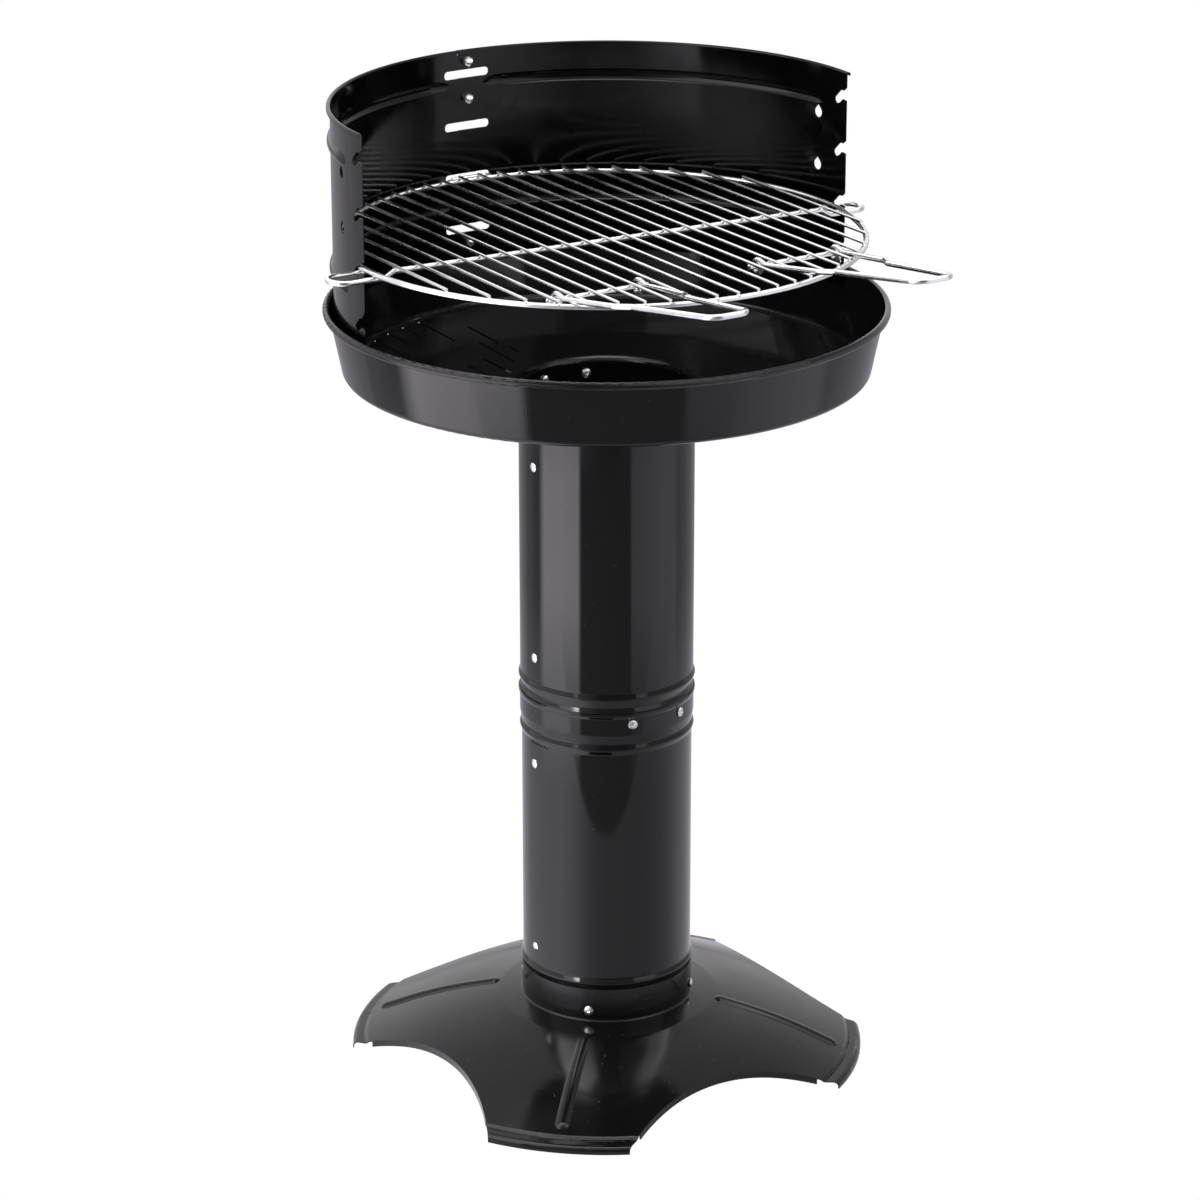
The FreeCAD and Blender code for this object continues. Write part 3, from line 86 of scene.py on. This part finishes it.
def outward(azimuth, elevation=0.0):
    """A direction by its angle to the right of the camera's side and its angle above level."""
    turn = math.radians(AZIMUTH) + math.radians(azimuth)
    rise = math.radians(elevation)
    return Vector((math.sin(turn) * math.cos(rise), -math.cos(turn) * math.cos(rise), math.sin(rise)))


def make_camera():
    """The camera at the photograph's place, with its centre a little off the frame's middle."""
    data = bpy.data.cameras.new("view")
    data.sensor_width = SENSOR
    data.lens = FOCAL_PIXELS / IMAGE_SIDE * SENSOR
    data.shift_x = (IMAGE_SIDE / 2 - CENTER_COLUMN) / IMAGE_SIDE
    data.shift_y = (CENTER_ROW - IMAGE_SIDE / 2) / IMAGE_SIDE
    camera = add_object("view", data)
    back = outward(0, ELEVATION)
    camera.location = AIM + back * DISTANCE
    camera.rotation_euler = (-back).to_track_quat("-Z", "Y").to_euler()
    bpy.context.scene.camera = camera


class Nodes:
    """The node tree of a material or a world, with short calls for what is used here."""

    def __init__(self, owner):
        owner.use_nodes = True
        self.owner = owner
        self.tree = owner.node_tree
        self.shader = self.tree.nodes.get("Principled BSDF")

    def add(self, kind, **settings):
        node = self.tree.nodes.new(kind)
        for key, value in settings.items():
            setattr(node, key, value)
        return node

    def fill(self, socket, value):
        """Links an input to another node's output, or gives it a fixed value."""
        if isinstance(value, bpy.types.NodeSocket):
            self.tree.links.new(value, socket)
        else:
            socket.default_value = value

    def feed(self, node, **inputs):
        """Fills a node's inputs by their names, with _ for a space."""
        for key, value in inputs.items():
            self.fill(node.inputs[key.replace("_", " ")], value)
        return node

    def shade(self, **inputs):
        self.feed(self.shader, **inputs)

    def position(self):
        return self.add("ShaderNodeTexCoord").outputs["Object"]

    def math(self, operation, *values):
        node = self.add("ShaderNodeMath", operation=operation)
        for socket, value in zip(node.inputs, values):
            self.fill(socket, value)
        return node.outputs["Value"]

    def vector(self, operation, *values, result="Vector"):
        node = self.add("ShaderNodeVectorMath", operation=operation)
        for socket, value in zip(node.inputs, values):
            self.fill(socket, value)
        return node.outputs[result]

    def noise(self, place, scale, detail=2.0, roughness=0.5):
        node = self.add("ShaderNodeTexNoise")
        self.feed(node, Vector=place, Scale=scale, Detail=detail, Roughness=roughness)
        return node.outputs["Fac"]

    def spread(self, value, span, new_span=(0.0, 1.0)):
        """The value, with one span of it stretched to another and held at its ends."""
        node = self.feed(self.add("ShaderNodeMapRange"), Value=value)
        self.feed(node, From_Min=span[0], From_Max=span[1], To_Min=new_span[0], To_Max=new_span[1])
        return node.outputs["Result"]

    def mix(self, kind, share, first, second):
        """A blend of two numbers, for kind FLOAT, or of two colours, for kind RGBA."""
        node = self.add("ShaderNodeMix", data_type=kind)
        return self.feed(node, Factor=share, A=first, B=second).outputs["Result"]

    def bump(self, height, distance):
        node = self.add("ShaderNodeBump")
        return self.feed(node, Height=height, Distance=distance).outputs["Normal"]

    def split(self, place):
        return self.feed(self.add("ShaderNodeSeparateXYZ"), Vector=place).outputs

    def polar(self, place):
        """The place's angle round the column as X, and its height as Z."""
        parts = self.split(place)
        angle = self.math("ARCTAN2", parts["Y"], parts["X"])
        return self.feed(self.add("ShaderNodeCombineXYZ"), X=angle, Z=parts["Z"]).outputs["Vector"]


# Finishes. A scale or stretch multiplies a place in metres, or an angle in radians, and a
# relief is in metres. A cloud is a noise's scale and detail, and a span is the part of a
# noise's 0 to 1 that makes the change.

TONE_SPAN = (0.35, 0.65)
GLOSS_SPAN = (0.3, 0.7)

FLECK_SCALE = 450.0
FLECK_TONE = 14.0
FLECK_PATCH_SCALE = 160.0
FLECK_PATCH_SPAN = (0.58, 0.80)
ENAMEL_CLOUD = (18.0, 3.0)
ENAMEL_DULLEST = 2.0
RIPPLE_SCALE = 24.0
DRIP_STRETCH = (110.0, 1.0, 3.0)
ENAMEL_RELIEF = 0.00005

# Painted shade for the vent slots' folded sides: near black, dull and barely mirroring.
SLOT_SHADE_TONE = 0.002
SLOT_SHADE_ROUGHNESS = 0.9
SLOT_SHADE_INDEX = 1.1

CHROME_CLOUD = (40.0, 2.0)
CHROME_DULL = (0.90, 0.90, 0.91)
CHROME_DULLEST = 1.8
DRAWING_STRETCH = (900.0, 60.0, 900.0)
CHROME_RELIEF = 0.000005

ZINC_CLOUD = (420.0, 3.0)
ZINC_DULL = (0.66, 0.67, 0.69, 1.0)
ZINC_BRIGHT = (0.92, 0.92, 0.91, 1.0)
ZINC_ROUGHNESS = (0.22, 0.38)
ZINC_RELIEF = 0.00004


def grey(tone):
    return (tone, tone, tone, 1.0)


def enamel(name, tone, gloss, streaks, flecks=0.22, index=1.50):
    """Fired black enamel: a deep gloss with a slow ripple, pale flecks and fine drip lines."""
    mat = Nodes(bpy.data.materials.new(name))
    place = mat.position()

    cells = mat.feed(mat.add("ShaderNodeTexVoronoi", feature="F1"), Vector=place, Scale=FLECK_SCALE)
    patches = mat.noise(place, FLECK_PATCH_SCALE, detail=1.0)
    reach = mat.spread(patches, FLECK_PATCH_SPAN, (0.0, flecks))
    fleck = mat.math("LESS_THAN", cells.outputs["Distance"], reach)
    color = mat.mix("RGBA", fleck, grey(tone), grey(FLECK_TONE * tone))

    cloud = mat.noise(place, *ENAMEL_CLOUD)
    roughness = mat.spread(cloud, GLOSS_SPAN, (gloss, gloss * ENAMEL_DULLEST))

    ripple = mat.noise(place, RIPPLE_SCALE, detail=1.0, roughness=0.4)
    lines = mat.noise(mat.vector("MULTIPLY", mat.polar(place), DRIP_STRETCH), 1.0)
    height = mat.math("ADD", ripple, mat.math("MULTIPLY", lines, streaks))
    mat.shade(Base_Color=color, Roughness=roughness, IOR=index, Normal=mat.bump(height, ENAMEL_RELIEF))
    return mat.owner


def soot(name):
    """Painted shade: dull, barely mirroring black on the folded sides of the vent slots, so they read as
    dark gaps.
    """
    mat = Nodes(bpy.data.materials.new(name))
    mat.shade(Base_Color=grey(SLOT_SHADE_TONE), Roughness=SLOT_SHADE_ROUGHNESS, IOR=SLOT_SHADE_INDEX)
    return mat.owner


def plated(name, cloud_form, dull, bright, roughness):
    """Metal plate whose tone and gloss drift together: its nodes, and the noise they follow."""
    mat = Nodes(bpy.data.materials.new(name))
    cloud = mat.noise(mat.position(), *cloud_form)
    color = mat.mix("RGBA", mat.spread(cloud, TONE_SPAN), dull, bright)
    mat.shade(Metallic=1.0, Base_Color=color, Roughness=mat.spread(cloud, GLOSS_SPAN, roughness))
    return mat, cloud


def chrome(name, tone, rough):
    """Bright plate on drawn wire, a little uneven, with faint drawing marks."""
    dull = [tone * share for share in CHROME_DULL] + [1.0]
    mat = plated(name, CHROME_CLOUD, dull, grey(tone), (rough, rough * CHROME_DULLEST))[0]
    marks = mat.noise(mat.vector("MULTIPLY", mat.position(), DRAWING_STRETCH), 1.0)
    mat.shade(Normal=mat.bump(marks, CHROME_RELIEF))
    return mat.owner


def zinc(name):
    """Zinc plate: pale, slightly blue and mottled."""
    mat, cloud = plated(name, ZINC_CLOUD, ZINC_DULL, ZINC_BRIGHT, ZINC_ROUGHNESS)
    mat.shade(Normal=mat.bump(cloud, ZINC_RELIEF))
    return mat.owner


# Pieces

TUBES = ("lower_column", "upper_column")
SHIELDS = ("shield_left", "shield_right")
WIRES = ("grate_ring", "grate_crossbar", "grate_tongue", "handle_bars", "handle_left", "handle_right")
FASTENERS = (
    "collar_screws", "collar_nuts", "lower_seam_rivets", "upper_seam_rivets", "joint_screws",
    "joint_nuts", "neck_screws", "neck_nuts", "seam_bolts", "seam_nuts",
)


def dress(mesh, *materials):
    """Gives a mesh these materials and no others."""
    mesh.materials.clear()
    for material in materials:
        mesh.materials.append(material)


def paint(names, material):
    """Gives CAD nodes a material."""
    for name in names:
        dress(nodes[name].data, material)


def add_piece(name, mesh, body):
    piece = add_object(name, mesh)
    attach(piece, body)
    return piece


def make_pieces():
    paint(TUBES, enamel("enamel_tube", tone=0.003, gloss=0.045, streaks=0.05))
    paint(SHIELDS, enamel("enamel_shield", tone=0.0015, gloss=0.08, streaks=0.02, index=1.40))
    paint(("base_foot",), enamel("enamel_foot", tone=0.005, gloss=0.10, streaks=0.05, flecks=0.36))
    # The bowl's vent slots get painted shade, near black, on their folded sides.
    make_bowl(enamel("enamel_bowl", tone=0.006, gloss=0.045, streaks=0.5), soot("soot"))
    wire = chrome("chrome", tone=0.96, rough=0.16)
    paint(WIRES, wire)
    paint(("grate_wires",), chrome("chrome_thin", tone=0.92, rough=0.20))
    plate = zinc("zinc")
    paint(FASTENERS, plate)
    for name in ("collar_screws", "joint_screws", "seam_bolts"):
        cross_heads(name, True, plate)
    cross_heads("neck_screws", False, plate)
    make_nuggets(wire)


# The bowl, with painted shade on the folded sides of its vent slots. The slots lie between two distances
# from the column's axis and two levels above the ground.

VENT_NEAR = 0.095
VENT_FAR = 0.2312
VENT_LOW = 0.630
VENT_HIGH = 0.660
VENT_LEVEL_NORMAL = 0.6


def make_bowl(enamel_material, slot_shade_material):
    """Stands in for the bowl, with painted shade, near black, on the upright faces of its vent slots."""
    mesh = nodes["bowl"].data.copy()
    dress(mesh, enamel_material, slot_shade_material)
    for face in mesh.polygons:
        reach = math.hypot(face.center.x, face.center.y)
        in_vent = VENT_NEAR < reach < VENT_FAR and VENT_LOW < face.center.z < VENT_HIGH
        face.material_index = int(in_vent and abs(face.normal.z) < VENT_LEVEL_NORMAL)
    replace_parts(add_piece("bowl_sooted", mesh, "stand"), "bowl")


# Details on CAD pieces: cross recesses in the screw heads and weld nuggets on the grate

RECESS_REACH = 0.0023
RECESS_HALF_WIDTH = 0.00050
RECESS_DEPTH = 0.0015
RECESS_TAPER = 0.55
RECESS_STEP = 0.6
WELD_DISTANCE = 0.000002
SMOOTH_ANGLE = math.radians(32)
NUGGET_OFFSET = -0.001
CROSSBAR_HALF_HEIGHT = 0.0026
NUGGET_RADIUS = 0.0020
NUGGET_STRETCH = 1.1
NUGGET_FLATNESS = 0.75
NUGGET_SPREAD = 0.16
NUGGET_PHASE = 2.4
ALONG_X = Vector((1, 0, 0))
ALONG_Y = Vector((0, 1, 0))


def built(name, builder):
    """The mesh that a builder holds. The builder is freed."""
    mesh = bpy.data.meshes.new(name)
    builder.to_mesh(mesh)
    builder.free()
    return mesh


def welded_copy(name):
    """A copy of a CAD node's mesh with its split corners joined."""
    builder = bmesh.new()
    builder.from_mesh(nodes[name].data)
    bmesh.ops.remove_doubles(builder, verts=builder.verts, dist=WELD_DISTANCE)
    return built(name + "_copy", builder)


def loose_parts(mesh):
    """The corners of each separate solid of a mesh."""
    beside = [[] for vertex in mesh.vertices]
    for edge in mesh.edges:
        first, last = edge.vertices
        beside[first].append(last)
        beside[last].append(first)
    seen = set()
    parts = []
    for start in range(len(mesh.vertices)):
        if start in seen:
            continue
        seen.add(start)
        waiting = [start]
        part = []
        while waiting:
            here = waiting.pop()
            part.append(mesh.vertices[here].co.copy())
            fresh = [other for other in beside[here] if other not in seen]
            seen.update(fresh)
            waiting += fresh
        parts.append(part)
    return parts


def middle_along(part, way):
    """The middle of a part's reach in a direction."""
    reach = [corner.dot(way) for corner in part]
    return (min(reach) + max(reach)) / 2


def cross_outline(reach, width):
    """The twelve corners of a cross."""
    outline = []
    for degrees in (0, 90, 180, 270):
        turn = Matrix.Rotation(math.radians(degrees), 2)
        outline += [turn @ Vector(spot) for spot in ((width, width), (width, reach), (-width, reach))]
    return outline


def add_recess(builder, apex, axis, turn):
    """A tapered cross that sinks into a head from its apex."""
    side = axis.orthogonal().normalized()
    along = side * math.cos(turn) + axis.cross(side) * math.sin(turn)
    across = axis.cross(along)
    rings = []
    for height, share in ((RECESS_DEPTH, 1.0), (-RECESS_DEPTH, RECESS_TAPER)):
        outline = cross_outline(RECESS_REACH * share, RECESS_HALF_WIDTH)
        corners = [apex + along * x + across * y + axis * height for x, y in outline]
        rings.append([builder.verts.new(corner) for corner in corners])
    builder.faces.new(rings[0])
    builder.faces.new(list(reversed(rings[1])))
    count = len(rings[0])
    for number in range(count):
        following = (number + 1) % count
        builder.faces.new([rings[0][following], rings[0][number], rings[1][number], rings[1][following]])


def carve(piece, cutter_mesh):
    """Takes a closed mesh away from a piece."""
    cutter = add_object("cutter", cutter_mesh)
    step = piece.modifiers.new("carve", "BOOLEAN")
    step.operation = "DIFFERENCE"
    step.solver = "EXACT"
    step.object = cutter
    bpy.context.view_layer.update()
    drawn = piece.evaluated_get(bpy.context.evaluated_depsgraph_get())
    carved = bpy.data.meshes.new_from_object(drawn)
    piece.modifiers.clear()
    piece.data = carved
    bpy.data.objects.remove(cutter)


def cross_heads(name, outwards, material):
    """Stands in for a node of screws, with a cross recess in each head."""
    mesh = welded_copy(name)
    builder = bmesh.new()
    for number, part in enumerate(loose_parts(mesh)):
        middle = sum(part, Vector()) / len(part)
        axis = Vector((middle.x, middle.y, 0.0)).normalized() * (1 if outwards else -1)
        side = axis.orthogonal().normalized()
        other = axis.cross(side)
        apex = axis * max(corner.dot(axis) for corner in part)
        apex += side * middle_along(part, side) + other * middle_along(part, other)
        add_recess(builder, apex, axis, number * RECESS_STEP)
    bmesh.ops.recalc_face_normals(builder, faces=builder.faces)
    piece = add_piece(name + "_crossed", mesh, "stand")
    carve(piece, built(name + "_recesses", builder))
    piece.data.shade_smooth()
    piece.data.set_sharp_from_angle(angle=SMOOTH_ANGLE)
    dress(piece.data, material)
    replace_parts(piece, name)


def middle_level(name):
    """The height halfway up a CAD node."""
    low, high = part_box(name)
    return (low[2] + high[2]) / 2


def grate_joints():
    """Where the grate's thin wires meet the ring, the crossbar and the handles' bars."""
    ring_level = middle_level("grate_ring")
    level = (ring_level + middle_level("grate_wires") + NUGGET_OFFSET) / 2
    crossbar = [vertex.co for vertex in nodes["grate_crossbar"].data.vertices]
    flat = [spot for spot in crossbar if abs(spot.z - ring_level) <= CROSSBAR_HALF_HEIGHT]
    ends = []
    for way in (-1, 1):
        side = [spot for spot in flat if spot.x * way > 0]
        ends.append(sum(side, Vector()) / len(side))
    slope = (ends[1].y - ends[0].y) / (ends[1].x - ends[0].x)
    bars = []
    for part in loose_parts(welded_copy("handle_bars")):
        reach = [corner.x for corner in part]
        bars.append((min(reach), max(reach), middle_along(part, ALONG_Y)))
    spots = []
    for part in loose_parts(welded_copy("grate_wires")):
        x = middle_along(part, ALONG_X)
        reach = [corner.y for corner in part]
        crossings = [min(reach), max(reach), ends[0].y + (x - ends[0].x) * slope]
        crossings += [y for first, last, y in bars if first < x < last]
        spots += [Vector((x, y, level)) for y in crossings]
    return spots


def make_nuggets(material):
    """The small swellings that spot welding leaves where the grate's wires cross."""
    builder = bmesh.new()
    for number, spot in enumerate(grate_joints()):
        size = NUGGET_RADIUS * (1 + NUGGET_SPREAD * math.sin(number * NUGGET_PHASE))
        scale = Matrix.Diagonal((size, size * NUGGET_STRETCH, size * NUGGET_FLATNESS, 1.0))
        place = Matrix.Translation(spot) @ scale
        bmesh.ops.create_icosphere(builder, subdivisions=2, radius=1.0, matrix=place)
    mesh = built("weld_nuggets", builder)
    mesh.shade_smooth()
    dress(mesh, material)
    add_piece("weld_nuggets", mesh, "grate")


# Studio, pure white to the camera. What the parts mirror is a white sheet that ends a short
# way in front of the foot, the floor round it, which is brightest at the left, and a pale tent
# with a dark opening at the camera. A run of brightness is a list of stops: the angle to the
# right of the camera's side, in degrees, and the brightness there. On the ground, one run
# holds up to NEAR_END from the axis, the next from FAR_START to FAR_END, and the last from
# OUTER_START on.

SHEET_FRONT = 0.64
REACH = 14.0
LAYER = 0.002
NEAR_END = 0.75
FAR_START = 1.35
FAR_END = 1.80
OUTER_START = 2.80
SHEET_LIGHT = (
    (-180, 0.65), (-120, 0.72), (-90, 1.15), (-60, 1.45), (-40, 1.20), (-20, 0.62),
    (0, 0.48), (50, 0.46), (80, 0.60), (105, 0.80), (150, 0.70), (180, 0.65),
)
FLOOR_LIGHT = ((-180, 0.22), (180, 0.22))
FAR_LIGHT = (
    (-180, 0.36), (-130, 0.45), (-96, 0.34), (-86, 2.80), (-60, 3.30), (-36, 3.20), (-32, 0.22),
    (31, 0.22), (34, 0.78), (75, 0.95), (98, 0.75), (105, 0.45), (180, 0.36),
)
OUTER_LIGHT = (
    (-180, 0.33), (-120, 0.55), (-90, 1.05), (-60, 1.50), (-42, 1.40), (-26, 1.00),
    (-10, 0.20), (12, 0.12), (45, 0.75), (75, 0.90), (105, 0.60), (180, 0.33),
)
GROUND_TINT = (1.02, 0.98, 1.06, 1.0)

TENT_SPAN = (0.30, 0.70)
TENT_LIGHT = (
    (-180, 0.95), (-90, 0.86), (-55, 0.75), (-30, 0.42), (-8, 0.05), (25, 0.08),
    (60, 0.32), (100, 0.38), (130, 0.45), (160, 0.85), (180, 0.95),
)
ROOF_LIGHT = (
    (-180, 0.50), (-60, 0.80), (0, 0.50), (30, 0.46), (75, 0.62), (120, 0.35), (180, 0.50),
)
OVERHEAD_SPAN = (0.90, 0.97)
OVERHEAD = 3.0

HALF_TURN = 180
FULL_TURN = 360
TOWARDS_CAMERA = outward(0)
ACROSS_VIEW = outward(90)
BRIGHTEST = 4.0
SEEN_BRIGHTNESS = 1.0
WHITE = grey(1.0)

LAMP_DISTANCE = 2.5
LAMP_SIZE = 2.4
LAMP_AIM = Vector((0.0, 0.0, 0.78))


def around(mat, place, stops):
    """A run of brightness by the place's angle. A ramp's colours end at 1, so it is scaled."""
    across, towards = [
        mat.vector("DOT_PRODUCT", place, way, result="Value") for way in (ACROSS_VIEW, TOWARDS_CAMERA)
    ]
    angle = mat.math("ARCTAN2", across, towards)
    ramp = mat.feed(mat.add("ShaderNodeValToRGB"), Fac=mat.spread(angle, (-math.pi, math.pi)))
    marks = ramp.color_ramp.elements
    while len(marks) < len(stops):
        marks.new(1.0)
    for mark, (azimuth, brightness) in zip(marks, stops):
        mark.position = (azimuth + HALF_TURN) / FULL_TURN
        mark.color = grey(brightness / BRIGHTEST)
    return mat.math("MULTIPLY", ramp.outputs["Color"], BRIGHTEST)


def by_ray(mat, kind, seen, mirrored):
    """One value to the camera's own rays, and another to all the rest."""
    camera_ray = mat.add("ShaderNodeLightPath").outputs["Is Camera Ray"]
    return mat.mix(kind, camera_ray, mirrored, seen)


def make_ground(name, front, back, level, near_light):
    """A flat stage piece between two lines across the view, with its brightness near and far."""
    corners = ((-REACH, front), (REACH, front), (REACH, back), (-REACH, back))
    points = [ACROSS_VIEW * x + TOWARDS_CAMERA * y + Vector((0, 0, level)) for x, y in corners]
    mesh = bpy.data.meshes.new(name)
    mesh.from_pydata(points, [], [tuple(range(len(points)))])
    ground = add_object(name, mesh)
    mat = Nodes(bpy.data.materials.new(name))
    mat.tree.nodes.remove(mat.shader)
    place = mat.position()
    reach = mat.vector("LENGTH", place, result="Value")
    brightness = around(mat, place, near_light)
    for span, light in (((NEAR_END, FAR_START), FAR_LIGHT), ((FAR_END, OUTER_START), OUTER_LIGHT)):
        brightness = mat.mix("FLOAT", mat.spread(reach, span), brightness, around(mat, place, light))
    glow = mat.add("ShaderNodeEmission")
    mat.feed(glow, Strength=by_ray(mat, "FLOAT", SEEN_BRIGHTNESS, brightness))
    mat.feed(glow, Color=by_ray(mat, "RGBA", WHITE, GROUND_TINT))
    mat.feed(mat.tree.nodes["Material Output"], Surface=glow.outputs["Emission"])
    dress(mesh, mat.owner)


def make_world():
    """The tent: a run of brightness near the floor, another above it, and a bright top."""
    mat = Nodes(bpy.data.worlds.new("tent"))
    way = mat.add("ShaderNodeTexCoord").outputs["Generated"]
    height = mat.split(way)["Z"]
    walls = around(mat, way, TENT_LIGHT)
    roof = around(mat, way, ROOF_LIGHT)
    brightness = mat.mix("FLOAT", mat.spread(height, TENT_SPAN), walls, roof)
    brightness = mat.mix("FLOAT", mat.spread(height, OVERHEAD_SPAN), brightness, OVERHEAD)
    strength = by_ray(mat, "FLOAT", SEEN_BRIGHTNESS, brightness)
    mat.feed(mat.tree.nodes["Background"], Color=WHITE, Strength=strength)
    bpy.context.scene.world = mat.owner


def make_lamp(name, azimuth, elevation, power, lit=None):
    """A square soft lamp aimed at the grate, for all parts or only for those given."""
    data = bpy.data.lights.new(name, "AREA")
    data.shape = "SQUARE"
    data.size = LAMP_SIZE
    data.energy = power
    lamp = add_object(name, data)
    way = outward(azimuth, elevation)
    lamp.location = LAMP_AIM + way * LAMP_DISTANCE
    lamp.rotation_euler = way.to_track_quat("Z", "Y").to_euler()
    if lit:
        lamp.light_linking.receiver_collection = lit


def painted_with(name, finishes):
    """A collection of the pieces whose material has a name that starts with a given finish."""
    collection = bpy.data.collections.new(name)
    for piece in bpy.context.scene.objects:
        finish = piece.active_material
        if finish and finish.name.startswith(finishes):
            collection.objects.link(piece)
    return collection


def make_studio():
    """The ground, the tent, and lamps of which the strong ones light only the tubes and metal."""
    bpy.context.scene.view_settings.view_transform = "Standard"
    make_ground("white_sheet", SHEET_FRONT, -REACH, 0.0, SHEET_LIGHT)
    make_ground("floor", REACH, -REACH, -LAYER, FLOOR_LIGHT)
    make_world()
    metal = painted_with("metal", ("chrome", "zinc"))
    column = painted_with("column", ("enamel_tube", "zinc"))
    make_lamp("softbox_left", azimuth=-61, elevation=32, power=24.0)
    make_lamp("softbox_right", azimuth=62, elevation=30, power=12.0)
    make_lamp("column_left", azimuth=-61, elevation=36, power=200.0, lit=column)
    make_lamp("column_right", azimuth=112, elevation=36, power=60.0, lit=column)
    make_lamp("lamp_rear", azimuth=-148, elevation=34, power=14.0, lit=metal)
    make_lamp("lamp_top", azimuth=122, elevation=60, power=20.0, lit=metal)


make_camera()
make_pieces()
make_studio()
